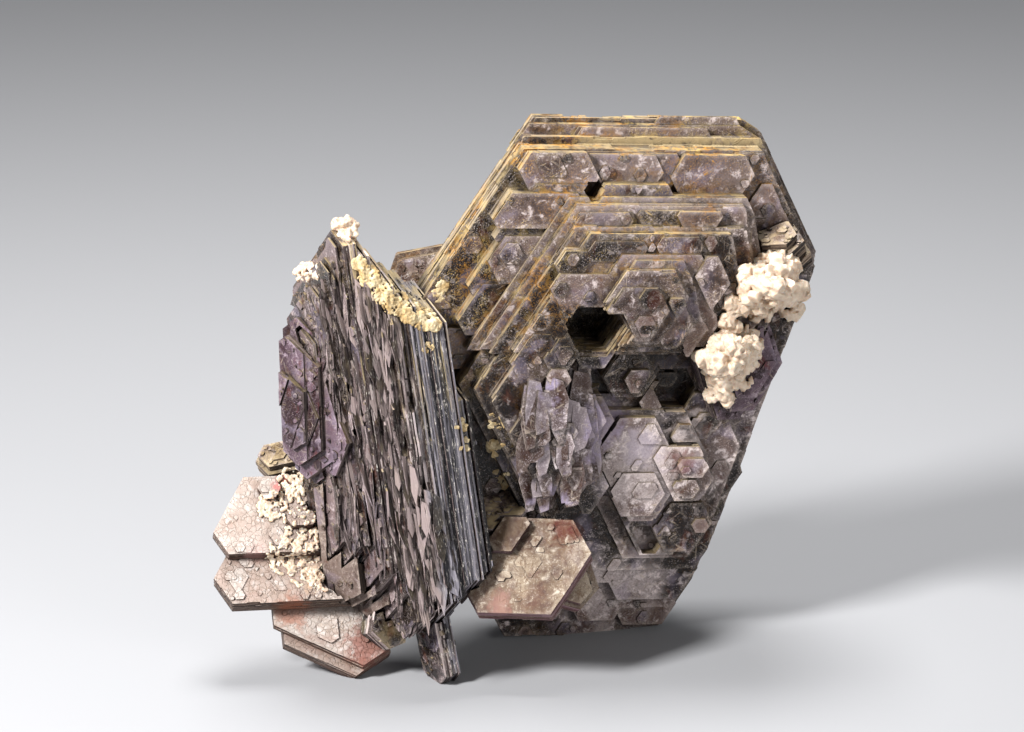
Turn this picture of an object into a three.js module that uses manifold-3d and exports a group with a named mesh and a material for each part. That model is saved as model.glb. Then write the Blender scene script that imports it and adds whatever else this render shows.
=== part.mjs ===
// A cluster of mica crystals with tufts of white albite, in millimetres, +Z up, its front towards -Y.
// Each mica book is a stack of six-sided plates, all square to the book's own c-axis.
import * as THREE from "three";
import { mergeVertices } from "three/addons/utils/BufferGeometryUtils.js";
import Module from "manifold-3d";

const wasm = await Module();
wasm.setup();

const GAP = 0.3; // left between neighbouring crystals, where they grew against each other
const FAR = 400; // larger than the whole specimen
const FOOT_TRIM = 1.1; // depth of the small flats worn on the lowest corners, where the cluster stands

const FLAT_TOP = [90, 150, 210, 270, 330, 30]; // side directions, from the top side round to the left
const UPRIGHT = [0, 60, 120, 180, 240, 300]; // from the right side round over the top

const { degToRad } = THREE.MathUtils;

// ---- Solids ----

function solidOf(geometry) {
  const bare = geometry.clone();
  bare.deleteAttribute("normal");
  bare.deleteAttribute("uv");
  const merged = mergeVertices(bare, 1e-4);
  return new wasm.Manifold(
    new wasm.Mesh({
      numProp: 3,
      vertProperties: new Float32Array(merged.attributes.position.array),
      triVerts: new Uint32Array(merged.index.array),
    }),
  );
}

function geometryOf(solid) {
  const mesh = solid.getMesh();
  const positions = new Float32Array(mesh.numVert * 3);
  for (let i = 0; i < mesh.numVert; i++) {
    const start = i * mesh.numProp;
    positions.set(mesh.vertProperties.subarray(start, start + 3), i * 3);
  }
  const geometry = new THREE.BufferGeometry();
  geometry.setAttribute("position", new THREE.BufferAttribute(positions, 3));
  geometry.setIndex(new THREE.BufferAttribute(new Uint32Array(mesh.triVerts), 1));
  return geometry.toNonIndexed();
}

function joined(solids) {
  return solids.reduce((all, next) => all.add(next));
}

// The piece itself, without the chips that a cut has left loose beside it.
function largestPiece(solid) {
  const pieces = solid.decompose().sort((a, b) => b.volume() - a.volume());
  return pieces[0];
}

// ---- Mica plates ----

// A plate's sides are [direction in degrees, distance from the book's centre line] pairs.
function sides(directions, distances, extra = []) {
  return [...directions.map((direction, i) => [direction, distances[i]]), ...extra];
}

const flatTop = (distances, extra) => sides(FLAT_TOP, distances, extra);
const upright = (distances, extra) => sides(UPRIGHT, distances, extra);

// The corners of the region inside every side.
function outline(plateSides, grow) {
  let corners = [
    [-FAR, -FAR],
    [FAR, -FAR],
    [FAR, FAR],
    [-FAR, FAR],
  ];
  for (const [direction, distance] of plateSides) {
    const x = Math.cos(degToRad(direction));
    const y = Math.sin(degToRad(direction));
    const beyond = ([u, v]) => u * x + v * y - distance - grow;
    const kept = [];
    corners.forEach((corner, i) => {
      const next = corners[(i + 1) % corners.length];
      const here = beyond(corner);
      const there = beyond(next);
      if (here <= 0) kept.push(corner);
      if (here * there < 0) {
        const t = here / (here - there);
        kept.push([corner[0] + t * (next[0] - corner[0]), corner[1] + t * (next[1] - corner[1])]);
      }
    });
    corners = kept;
  }
  return corners.map(([u, v]) => new THREE.Vector2(u, v));
}

// One plate from height low to height high along the c-axis, optionally turned and tilted in its book.
function plate(low, high, plateSides, { turn = 0, tilt = 0 } = {}) {
  return { low, high, plateSides, turn, tilt };
}

// A small six-sided plate centred at (u, v) on its book. Its reach is one half width or, where it is
// uneven, the distance of each side from that centre, from the top side round to the left.
function growth(u, v, reach, low, high) {
  const distances = FLAT_TOP.map((direction, i) => {
    const shift = u * Math.cos(degToRad(direction)) + v * Math.sin(degToRad(direction));
    return shift + (Array.isArray(reach) ? reach[i] : reach);
  });
  return plate(low, high, flatTop(distances));
}

function plateSolid({ low, high, plateSides, turn, tilt }, grow) {
  const shape = new THREE.Shape(outline(plateSides, grow));
  const depth = high - low + 2 * grow;
  const geometry = new THREE.ExtrudeGeometry(shape, { depth, bevelEnabled: false });
  geometry.translate(0, 0, low - grow);
  geometry.rotateX(degToRad(tilt));
  geometry.rotateY(degToRad(turn));
  return solidOf(geometry);
}

// ---- Albite tufts ----

// A fixed sequence of numbers from 0 to 1, so that each tuft is the same every time.
function sequence(seed) {
  let state = seed;
  return () => {
    state = (state * 16807) % 2147483647;
    return state / 2147483647;
  };
}

const BLADE_CORNERS = [0, 62, 118, 180, 242, 298]; // directions of a blade's corners

// Flat six-sided blades fanning out from the tuft's root.
function tuftSolid({ blades, reach, blade, seed, spread = [1, 1, 1] }, grow) {
  const next = sequence(seed);
  const solids = [];
  for (let i = 0; i < blades; i++) {
    const width = blade * (0.8 + 0.4 * next()) + grow;
    const thickness = blade * 0.7 + 2 * grow;
    const corners = BLADE_CORNERS.map((direction) => {
      const angle = degToRad(direction);
      return new THREE.Vector2(width * Math.cos(angle), width * 0.85 * Math.sin(angle));
    });
    const geometry = new THREE.ExtrudeGeometry(new THREE.Shape(corners), {
      depth: thickness,
      bevelEnabled: false,
    });
    geometry.translate(0, 0, -thickness / 2);
    geometry.rotateX(next() * Math.PI);
    geometry.rotateY(next() * Math.PI);
    const around = next() * 2 * Math.PI;
    const height = 2 * next() - 1;
    const flat = Math.sqrt(1 - height * height);
    const distance = i ? reach * (0.45 + 0.55 * next()) : 0;
    geometry.translate(
      distance * flat * Math.cos(around) * spread[0],
      distance * flat * Math.sin(around) * spread[1],
      distance * height * spread[2],
    );
    solids.push(solidOf(geometry));
  }
  return joined(solids);
}

// ---- Where each crystal sits ----

// facing is the way the c-axis points: degrees to the right of straight ahead, then degrees above level.
// spin turns the crystal about that axis.
function placement({ at, facing = [0, 0], spin = 0 }) {
  const [right, up] = facing.map(degToRad);
  const c = new THREE.Vector3(
    Math.sin(right) * Math.cos(up),
    -Math.cos(right) * Math.cos(up),
    Math.sin(up),
  );
  const u = new THREE.Vector3(Math.cos(right), Math.sin(right), 0);
  const v = new THREE.Vector3().crossVectors(c, u);
  const turned = new THREE.Matrix4().makeBasis(u, v, c);
  turned.multiply(new THREE.Matrix4().makeRotationZ(degToRad(spin)));
  return turned.setPosition(...at);
}

const COLOURS = {
  greyMica: { color: "#5d5256", roughness: 0.35 },
  darkMica: { color: "#39343c", roughness: 0.4 },
  violetMica: { color: "#7a6a7c", roughness: 0.35 },
  brownMica: { color: "#6e5a52", roughness: 0.4 },
  pearlMica: { color: "#d8cfc6", roughness: 0.3 },
  creamMica: { color: "#b5a58a", roughness: 0.4 },
  albite: { color: "#ece4d6", roughness: 0.6 },
};

// The large book: a full six-sided plate, stepping up towards the front in terraces that follow its upper
// left sides.
const mainBook = {
  name: "main_mica_book",
  look: "greyMica",
  at: [13, 0, 44.4],
  facing: [15, -4],
  spin: -4,
  plates: [
    plate(-21, -18, flatTop([26, 18.5, 22, 31, 25, 27.5])),
    plate(-18, -15, flatTop([32.4, 23.6, 26.6, 38.6, 31, 34], [[345, 25.6]])),
    plate(-15, -12.5, flatTop([34.4, 25.4, 28.2, 41, 33.2, 36.4], [[345, 27.2]])),
    plate(-12.5, -10, flatTop([35.6, 26.6, 29, 43.5, 35, 38], [[345, 28.5]])),
    plate(-10, -8, flatTop([37, 28.2, 30.6, 46.5, 37, 38.8], [[60, 42.6], [345, 30]])),
    plate(-8, -6.4, flatTop([36.4, 28.8, 29.6, 41.5, 36, 38.2], [[60, 41.8], [345, 29.6]])),
    plate(-6.4, -5, flatTop([35, 29.2, 28, 36.5, 34.5, 37.8], [[345, 29]])),
    plate(-5, -1.5, flatTop([34, 29.5, 25, 33.2, 33, 36.8], [[345, 28]])),
    // upper left terraces
    plate(-1.5, 0.8, flatTop([29.3, 25.4, 12, -6, -4, 12])),
    plate(-1.5, 2.2, flatTop([27.8, 20.6, 18, -4, 18, 31], [[15, 27]])),
    plate(2.2, 3.2, flatTop([27, 19.4, 17, -4.5, 16, 30], [[15, 25.6]])),
    plate(3.2, 4.6, flatTop([24.2, 18.2, 19.4, -4, 13, 29], [[15, 25]])),
    plate(4.6, 6, flatTop([23.4, 16.2, 14, -5, 12, 26], [[15, 22.4]])),
    plate(6, 7, flatTop([20.6, 10.5, 4, -6, 9, 20.6], [[15, 17.6]])),
    plate(7, 8, flatTop([19.8, 8.4, 2, -6.5, 5.5, 18], [[15, 15]])),
    // lower left terraces, with their thick dark edges
    plate(-1.5, 2.6, flatTop([9, 18.6, 19.9, 22, 15, 9], [[0, -2]])),
    plate(2.6, 4.6, flatTop([8, 16.9, 18.5, 21.6, 12, 6], [[0, -6]])),
    plate(4.6, 6, flatTop([5, 14.6, 16.9, 20.6, 9, 2], [[0, -8]])),
    // lower right terraces
    plate(-5, -2, flatTop([6, 9, 12.3, 32.1, 31.6, 18], [[345, 28.4]])),
    plate(-2, -0.5, flatTop([-4, 6, 9.4, 30.8, 30.4, 14.6], [[345, 26.4]])),
    plate(-0.5, 1, flatTop([-6, -3, 7, 29.6, 27.4, 9], [[345, 21.5]])),
    // growth plates on the top terraces
    growth(5, 35, [1.2, 9, 9, 3, 10, 9.6], -8, -6),
    growth(14, 36, [1.6, 6, 6, 3, 6, 6], -8, -7),
    growth(-9, 30.8, [3.2, 5.6, 5.2, 4.2, 5.6, 5], -1.5, 0.2),
    growth(1, 31, [2.6, 6, 5, 4, 5.6, 5.4], -1.5, -0.7),
    growth(7.6, 31.4, [2.2, 3.4, 3, 3.2, 2.6, 2.6], -1.5, -1),
    growth(14.8, 30.2, [3.4, 5.6, 5.6, 3.6, 5.6, 6], -1.5, -0.2),
    growth(23.6, 20, [9, 5, 5, 9, 4.4, 5.4], -1.5, -0.8),
    growth(2.6, 28.2, [1.2, 4.6, 5.6, 1.2, 5.6, 5], -1.5, 1.4),
    growth(-12.2, 25.6, [2.6, 5, 6.6, 2.8, 5.4, 6.4], -1.5, 1.8),
    growth(-14.3, 22, [1.2, 3, 4, 1.4, 3.4, 4], -1.5, 1.2),
    growth(-14.8, 18, [3.6, 3.6, 4, 3.8, 2.2, 5], -1.5, 1.9),
    growth(-18.8, 10, [4, 2.6, 4.4, 4, 2.2, 5], -1.5, 1),
    growth(-22, 3.6, [3, 3, 3.2, 3.4, 2.4, 3], -1.5, -0.2),
    // growth plates on the middle terraces
    growth(-2.4, 25, [1, 4, 4.4, 1.4, 4, 4], 2.2, 4),
    growth(6.2, 25.4, [0.9, 3.4, 3.4, 1.6, 3.4, 3.4], 3.2, 3.8),
    growth(12.4, 25.2, [1, 3.6, 3.2, 1.6, 3, 3], 3.2, 4.1),
    growth(-7, 19, [2, 2.6, 3, 2.2, 2, 2.2], 4.6, 6.6),
    growth(-0.8, 21.2, [1.4, 4, 4.8, 2, 4, 4], 4.6, 6.7),
    growth(8.6, 21.6, [1.4, 3, 3.2, 2, 3.4, 3.2], 4.6, 6.5),
    growth(13.6, 15.8, [4.6, 3, 1.6, 4, 2.6, 3], 4.6, 7.4),
    growth(-5, 14, [3.6, 5.8, 4.6, 3.6, 5, 5.4], 6, 7.2),
    growth(3.6, 13, [5.6, 5.8, 5.4, 6, 5, 6.4], 8, 8.8),
    growth(2.6, 12.2, [4.2, 4.8, 4.4, 4.4, 3.8, 4.2], 8.8, 9.7),
    growth(3.8, 14.6, [1.8, 2, 1.8, 1.8, 1.6, 1.8], 9.7, 10.1),
    growth(8.4, 10.2, [4, 3.4, 3.4, 4, 2.6, 2.6], 7, 8.5),
    growth(11.6, 9, [5, 3, 3, 4.4, 2.4, 2.4], 6, 7.5),
    growth(-2, 4.6, [2.4, 3.4, 3.4, 2.6, 2.2, 3.4], 3, 5.6),
    growth(-7.9, 5, [2.6, 2.2, 3, 2.6, 2.4, 3], 4.6, 7),
    growth(-11.6, 3.4, [4.6, 3.4, 3.6, 5, 2.4, 3.6], 4.6, 6.6),
    // growth plates on the lower left
    growth(-9.4, -7.2, [7, 4.8, 5, 7.4, 4.6, 5.2], 2.6, 7),
    growth(-10.6, -4.4, [4, 3, 3.2, 4, 3, 3.4], 7, 7.6),
    growth(-5.9, -13.8, [5, 3.6, 2.4, 5.4, 4.6, 3.2], 2, 6.2),
    growth(-4, -6.4, [4.6, 4, 3.6, 4.6, 3.6, 4], 2, 5.4),
    growth(-0.9, -6.8, [4, 2.8, 2.6, 4.2, 2.6, 2.6], -1.5, 4),
    growth(-2, -15.4, [5, 4, 2.8, 5.8, 4, 2.6], -1.5, 5),
    growth(-8.2, 1.2, [1.8, 2, 1.8, 1.8, 1.6, 1.6], 5, 7.4),
    // growth plates on the lower right
    growth(4.4, 0.2, [4, 3.2, 4, 4, 4.2, 3.4], -2, 1.6),
    growth(9.2, -4.6, [3, 2, 2.4, 3, 1.4, 2], -2, 0.8),
    growth(10.6, -8.4, [2.6, 3, 2.2, 2.6, 3, 2.2], -2, -0.2),
    growth(15.4, -10.6, [2.6, 3.8, 2.4, 2.6, 3.4, 3], -5, -0.9),
    growth(17, 2, [4, 3.6, 4, 4.4, 3.4, 3.8], -5, -2.6),
    growth(6.4, -15.2, [8.4, 7, 4.4, 8.6, 7.6, 6.6], 1, 2.4),
    growth(7, -18.6, [3.6, 4, 4, 4, 4.4, 4], 2.4, 2.9),
    growth(13.9, -15.6, [4.4, 5.4, 3, 4.6, 5, 4.2], -0.5, 3),
    growth(15.2, -14.4, [1.7, 2.4, 2, 1.7, 2.4, 2.2], 3, 4),
    growth(14.6, -18, [1.5, 2.2, 2, 1.6, 2, 2], 3, 3.5),
    growth(15.2, -25, [4, 4, 4.2, 4.2, 4, 4.6], -0.5, 1.6),
    growth(21, -18, [8, 4, 4, 9, 3, 4], -2, -1),
    // growth plates on the foot
    growth(13.2, -36.4, [4, 7, 6, 3.2, 5.6, 7.6], -6.4, -4.8),
    growth(4.8, -41.2, [2.2, 4, 3, 2.4, 4.4, 3.6], -8, -6.4),
    growth(13.4, -42.2, [2.2, 5, 4, 2.4, 4, 5], -8, -6.9),
    growth(-3.4, -40, [3, 4, 4, 3.4, 4, 4], -8, -7.2),
    // growth plates on the back
    growth(-2, 4, 8, -22.2, -21),
    growth(-3, 5.5, 5, -23, -22.2),
    growth(10, -12, 7, -22.4, -21),
    growth(-8, -19, [5, 7, 6, 6, 7, 6], -22, -21),
    growth(20, 16, [8, 6, 6, 8, 6, 6], -19.2, -18),
    growth(14, -31, [5, 5, 5, 6, 5, 5], -19.4, -18),
    growth(-2, 29, [3, 9, 8, 5, 9, 9], -19, -18),
  ],
  hollows: [
    growth(-2.8, 8, [4, 5, 3.6, 3.4, 3.8, 4.4], -3, 20),
    growth(12.4, -3.4, [3, 3.4, 3, 3, 3.2, 3], -4.4, 20),
    growth(9.8, -27.2, [2.4, 2.6, 1.4, 2.2, 2.6, 1.6], -0.9, 20),
    growth(-3.6, 28.4, [1.2, 1.4, 1.4, 1.4, 1.2, 1.4], -3, 20),
  ],
};

// The upright book stands on the edges of its pages. It is tallest a little left of its middle, and its left
// pages step back from the front.
const uprightBook = {
  name: "upright_mica_book",
  look: "darkMica",
  at: [-19.2, -9, 34.7],
  facing: [-64, -5],
  spin: 8,
  plates: [
    plate(-12.2, -10.4, upright([7.6, 8.6, 13, 12, 20, 20])),
    plate(-10.4, -9, upright([8.4, 9.6, 14, 13, 21.5, 21.5])),
    plate(-9, -7.6, upright([9, 20.5, 21, 13, 22.5, 22.5])),
    plate(-7.6, -6, upright([9.2, 21, 21.8, 13.4, 23.4, 22.8])),
    plate(-6, -4.4, upright([8.9, 22.2, 23, 14, 23, 24])),
    plate(-4.4, -3, upright([9.1, 23.4, 24.4, 14, 24.4, 24.6])),
    plate(-3, -1.6, upright([8.6, 24.4, 25.4, 14.5, 24.6, 23.6])),
    plate(-1.6, -0.4, upright([8.8, 26, 26.4, 15, 25, 25])),
    plate(-0.4, 0.8, upright([7.8, 27.6, 27.2, 15, 25.4, 25.4])),
    plate(0.8, 2, upright([7, 29.6, 28, 15, 25.4, 21]), { turn: 1 }),
    plate(2, 3.2, upright([6.2, 31, 28.5, 15, 25, 18]), { turn: 1 }),
    plate(3.2, 4.4, upright([4.8, 30, 28, 14.5, 24, 16.6]), { turn: 2 }),
    plate(4.4, 5.4, upright([3.4, 26.4, 26, 14, 23, 13]), { turn: 2 }),
    plate(5.4, 6.6, upright([0.8, 21, 24, 13.4, 21, 12]), { turn: 3 }),
    plate(6.6, 7.6, upright([-2.4, 14, 20, 13, 18, 10]), { turn: 3 }),
  ],
};

const crystals = [
  mainBook,
  uprightBook,
  {
    name: "left_flank_book",
    look: "violetMica",
    at: [-25.4, -9, 42.4],
    facing: [-54, 4],
    spin: 6,
    plates: [
      plate(-4.6, -2.4, upright([6.4, 12, 15, 11.4, 15, 12])),
      plate(-2.4, -0.6, upright([5, 11, 15.2, 11, 14.6, 10.6]), { turn: 2 }),
      plate(-0.6, 1, upright([3.8, 9.6, 14.8, 10.4, 14.2, 9]), { turn: 4 }),
      plate(1, 2.6, upright([2, 7.4, 13.6, 9.8, 13.2, 8]), { turn: 7, tilt: 2 }),
      plate(2.6, 3.8, upright([-0.6, 4.4, 12, 9, 11.6, 6]), { turn: 9, tilt: 2 }),
      plate(3.8, 4.8, upright([-3, 0, 9.6, 8, 9.4, 3.6]), { turn: 12, tilt: 4 }),
      growth(-1, 9.5, [5, 3.4, 3.4, 5, 3.4, 3.4], 1, 3.2),
      growth(1.4, 3, [4, 2.6, 2.8, 4.4, 2.4, 2.6], -0.6, 2.2),
      growth(0.5, -6, [5, 3.6, 3.6, 5, 3.4, 3.6], -0.6, 2),
      growth(-3.6, -2.4, [4.4, 3, 3, 4.4, 3, 3], 2.6, 4.4),
    ],
  },
  {
    name: "lower_flank_book",
    look: "brownMica",
    at: [-22.4, -9.6, 21.4],
    facing: [-46, -6],
    spin: 2,
    plates: [
      plate(-2, -0.4, upright([5, 10, 11, 8, 12.6, 11])),
      plate(-0.4, 1, upright([2.8, 8.6, 10.4, 7.6, 11.6, 8.8]), { turn: 2 }),
      plate(1, 2.2, upright([0.6, 7, 9.6, 7, 11.2, 7.6]), { turn: 5 }),
      plate(2.2, 3.2, upright([-1, 4.4, 8.4, 6.4, 10, 6]), { turn: 7 }),
    ],
  },
  {
    name: "pearly_upper_book",
    look: "pearlMica",
    at: [-34.1, -6, 18.7],
    facing: [8, 40],
    plates: [
      plate(-4.4, -1.4, flatTop([7, 7.4, 11.6, 8.6, 12.6, 11])),
      plate(-1.4, 1, flatTop([11, 10.4, 8.2, 1.4, 7.6, 10.4])),
      growth(2.6, 3.4, [1.2, 2, 2, 1.2, 2, 2], 1, 2.4),
      growth(-2, 8.6, 1.6, 1, 2),
    ],
  },
  {
    name: "pearly_lower_book",
    look: "pearlMica",
    at: [-26.6, -6.6, 6.9],
    facing: [12, 38],
    spin: 0,
    plates: [
      plate(-3.4, -1.2, upright([8, 6.5, 9, 8, 6.4, 8.6])),
      plate(-1.2, 0.6, upright([7.6, 5.6, 7.5, 9.5, 5, 8.2])),
    ],
  },
  {
    name: "front_cream_book",
    look: "creamMica",
    at: [1.9, -12, 16.8],
    facing: [-5, 38],
    plates: [
      plate(-5.4, -3.2, flatTop([7, 6.5, 7.5, 5.4, 5.6, 8.4])),
      plate(-3.2, 0, flatTop([8.3, 7.6, 9.2, 6.8, 7.1, 10])),
      plate(0, 1.2, flatTop([8, 7, 6, -2.5, -3, 4])),
    ],
  },
  {
    name: "small_front_book",
    look: "brownMica",
    at: [9.3, -8.4, 13.2],
    facing: [22, 30],
    spin: -22,
    plates: [
      plate(-2.2, 0, flatTop([4, 3.4, 3.6, 3.4, 3.2, 3.8])),
      plate(0, 0.8, flatTop([2.4, 2, 3, 2.8, 2.6, 2.4])),
    ],
  },
  {
    name: "ledge_book",
    look: "darkMica",
    at: [-3, -5, 23.4],
    facing: [-14, 66],
    spin: 12,
    plates: [
      plate(-4.6, -2, flatTop([5, 5.6, 5.8, 5.2, 5.5, 5])),
      plate(-2, 0.4, flatTop([4.4, 5, 5, 4, 4.6, 4.4])),
    ],
  },
  {
    name: "foot_book",
    look: "darkMica",
    at: [-12.8, -9.6, 5.6],
    facing: [-62, -6],
    spin: 12,
    plates: [
      plate(-2.6, 0, upright([3.8, 7, 7, 4, 7, 7.2])),
      plate(0, 1.8, upright([3.2, 6, 6, 3.6, 6.2, 6])),
    ],
  },
  {
    name: "foot_crystal",
    look: "darkMica",
    at: [-18.7, -8.6, 6.6],
    facing: [30, 20],
    spin: 10,
    plates: [plate(-3, 1, flatTop([3.4, 3, 2.8, 3.2, 2.8, 3]))],
  },
  {
    name: "back_mica_book",
    look: "brownMica",
    at: [-12.6, 13, 51.5],
    facing: [-6, 8],
    spin: 12,
    plates: [
      plate(-4, -1, flatTop([8, 7.5, 9, 9, 8, 7])),
      plate(-1, 1, flatTop([7.2, 6.6, 8, 8, 7, 6.4])),
    ],
  },
  {
    name: "side_mica_book",
    look: "brownMica",
    at: [-34, 3.4, 29.6],
    facing: [-22, 56],
    spin: 24,
    plates: [
      plate(-2, 0.2, flatTop([3, 4.6, 4.2, 3, 8, 7])),
      plate(0.2, 1.4, flatTop([2.4, 4, 3.6, 2.4, 7, 6])),
    ],
  },
  {
    name: "right_knob_book",
    look: "brownMica",
    at: [40.6, 5, 62.8],
    facing: [-24, 62],
    spin: 10,
    plates: [
      plate(-3.6, -1.6, flatTop([3.8, 4.4, 4.4, 3.8, 3.8, 3.4])),
      plate(-1.6, 0.6, flatTop([3.4, 5.2, 5.2, 3.4, 3.2, 2.8])),
      plate(0.6, 2, flatTop([2.6, 3.8, 4, 2.8, 2.4, 2])),
    ],
  },
  {
    name: "right_rear_book",
    look: "violetMica",
    at: [34.6, 4.4, 45],
    facing: [34, -2],
    spin: -8,
    plates: [
      plate(-4, -1, flatTop([10, 6.4, 6.6, 10, 7, 6.4])),
      plate(-1, 1.2, flatTop([8.4, 5.4, 5.6, 8, 6.4, 5.8])),
      plate(1.2, 2.4, flatTop([5.6, 4.6, 4.4, 5.6, 4.8, 4.4])),
    ],
  },
  {
    name: "albite_upper_tuft",
    look: "albite",
    at: [37.9, 0.4, 57.6],
    tuft: { blades: 18, reach: 4.2, blade: 2.4, seed: 11, spread: [0.95, 0.6, 1] },
  },
  {
    name: "albite_lower_tuft",
    look: "albite",
    at: [32.2, -2.8, 47.6],
    tuft: { blades: 20, reach: 5, blade: 2.2, seed: 29, spread: [0.75, 0.5, 1.15] },
  },
  {
    name: "albite_crown_tuft",
    look: "albite",
    at: [-24.6, -9, 68.2],
    tuft: { blades: 9, reach: 1.2, blade: 1.3, seed: 5 },
  },
  {
    name: "albite_left_tuft",
    look: "albite",
    at: [-30.6, 6.4, 58],
    tuft: { blades: 9, reach: 1.3, blade: 1.2, seed: 17 },
  },
  {
    name: "albite_pearl_tuft",
    look: "albite",
    at: [-32, 2.4, 25],
    tuft: { blades: 12, reach: 2.6, blade: 1.4, seed: 41, spread: [1.5, 0.7, 0.6] },
  },
];

// ---- Building the cluster ----

function rawSolid(crystal, grow) {
  if (crystal.tuft) return tuftSolid(crystal.tuft, grow);
  let solid = joined(crystal.plates.map((one) => plateSolid(one, grow)));
  for (const hollow of crystal.hollows ?? []) solid = solid.subtract(plateSolid(hollow, -grow));
  return solid;
}

function build() {
  const lowest = Math.min(
    ...crystals.map((crystal) => {
      const solid = rawSolid(crystal, 0).transform(placement(crystal).elements);
      return solid.boundingBox().min[2];
    }),
  );
  const ground = solidOf(new THREE.BoxGeometry(FAR, FAR, FAR).translate(0, 0, lowest + FOOT_TRIM - FAR / 2));
  const specimen = new THREE.Group();
  const grown = [];
  for (const crystal of crystals) {
    const matrix = placement(crystal);
    let solid = rawSolid(crystal, 0).transform(matrix.elements).subtract(ground);
    for (const neighbour of grown) solid = solid.subtract(neighbour);
    grown.push(rawSolid(crystal, GAP).transform(matrix.elements));
    const inverse = matrix.clone().invert();
    const geometry = geometryOf(largestPiece(solid).transform(inverse.elements));
    geometry.computeVertexNormals();
    const material = new THREE.MeshStandardMaterial({ ...COLOURS[crystal.look], metalness: 0 });
    const mesh = new THREE.Mesh(geometry, material);
    mesh.name = crystal.name;
    matrix.decompose(mesh.position, mesh.quaternion, mesh.scale);
    specimen.add(mesh);
  }
  return specimen;
}

const specimen = build();
specimen.updateMatrixWorld(true);
const box = new THREE.Box3().setFromObject(specimen, true);
const middle = box.getCenter(new THREE.Vector3());
specimen.position.set(-middle.x, -middle.y, -box.min.z);

const cluster = new THREE.Group();
cluster.add(specimen);

export default cluster;
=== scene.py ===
# The looks of a mica crystal cluster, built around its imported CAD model. Every mica book becomes a stack
# of thin pages cut from its CAD solid, and each albite tuft becomes small blades. Lengths are in
# millimetres, but for the camera, the lights and the floor, which are in metres.
import math
import random
from dataclasses import dataclass, replace

import bpy
import numpy as np
from mathutils import Matrix, Vector
from mathutils.bvhtree import BVHTree
from mathutils.geometry import tessellate_polygon


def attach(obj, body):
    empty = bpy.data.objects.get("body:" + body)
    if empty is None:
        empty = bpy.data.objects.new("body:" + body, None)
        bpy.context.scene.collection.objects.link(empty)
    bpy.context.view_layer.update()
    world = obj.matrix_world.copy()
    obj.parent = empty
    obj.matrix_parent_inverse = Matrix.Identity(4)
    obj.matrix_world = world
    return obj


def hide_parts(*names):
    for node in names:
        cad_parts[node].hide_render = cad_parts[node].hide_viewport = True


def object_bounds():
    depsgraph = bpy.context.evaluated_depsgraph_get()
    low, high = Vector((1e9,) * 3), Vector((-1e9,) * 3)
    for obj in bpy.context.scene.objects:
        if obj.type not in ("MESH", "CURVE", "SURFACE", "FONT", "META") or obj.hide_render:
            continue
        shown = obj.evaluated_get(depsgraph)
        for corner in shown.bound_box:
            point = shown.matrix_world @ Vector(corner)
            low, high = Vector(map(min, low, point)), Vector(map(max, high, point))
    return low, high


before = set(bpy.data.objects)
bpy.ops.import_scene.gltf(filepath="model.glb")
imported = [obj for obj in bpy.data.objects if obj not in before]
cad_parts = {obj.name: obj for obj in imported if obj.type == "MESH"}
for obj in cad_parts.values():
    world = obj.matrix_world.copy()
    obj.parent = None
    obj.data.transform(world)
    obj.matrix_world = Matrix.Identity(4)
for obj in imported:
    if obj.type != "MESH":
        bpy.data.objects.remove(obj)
cad_low, cad_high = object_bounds()

MM = 0.001
OVERLAP = 0.004  # how far neighbouring pages run into each other, so that they join
SMALLEST_LOOP = 0.03  # mm², below which a slice of a page is left out
SIDE_REACH = 130.0  # past either end of any side of a page
END_MARGIN = 0.35  # along a side, kept free of steps next to its corners
NUDGE = 0.0007  # keeps the slices off the solid's own levels
NEW_GROUP = 0.4  # the share of pages whose edges step differently from those of the page below
FLAT_ENOUGH = 0.02  # how level a face must be for a growth step to lie on it
SHRINK = 0.72  # how much smaller a growth step gets where it doesn't fit
STEP_SPACING = 1.25  # how far apart growth steps of one batch lie, as a share of their reach
ALBITE_VOXEL = 0.13  # how fine the skin over the albite blades is
CRUST_VOXEL = 0.1
SHADE_SAMPLES = 2  # rays for each Bevel and Ambient Occlusion node
HIGHLIGHT_RIM_WIDTH = 1.1  # how far the pale rims of painted highlight reach in from the edges of a plate
CREVICE_REACH = 2.2  # how near another face must be to stain a corner and to paint shade into it
CAMERA_RISE = math.radians(16)  # how far above the horizon the camera looks from
CAMERA_DISTANCE = 0.65
FRAME_WIDTH = 0.1536  # metres across the picture at the cluster
SENSOR_WIDTH = 36

CENTRE = Vector([(a + b) / 2 for a, b in zip(cad_low, cad_high)])
AIM = CENTRE + Vector((-0.66, -4.65, 4.32)) * MM
BACK = Vector((0, -math.cos(CAMERA_RISE), math.sin(CAMERA_RISE)))
UP = Vector((0, math.sin(CAMERA_RISE), math.cos(CAMERA_RISE)))
AIM_RISE = AIM.dot(UP) / MM


def new_object(name, data):
    made = bpy.data.objects.new(name, data)
    bpy.context.scene.collection.objects.link(made)
    return made


class Pile:
    """Closed shapes collected into one mesh."""

    def __init__(self):
        self.points = []
        self.faces = []

    def add(self, points, faces):
        start = len(self.points)
        self.points.extend(points)
        self.faces.extend([tuple(start + v for v in face) for face in faces])

    def mesh_object(self, name):
        mesh = bpy.data.meshes.new(name)
        mesh.from_pydata(self.points, [], self.faces)
        return new_object(name, mesh)


# ---- Reading a CAD book ----

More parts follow.
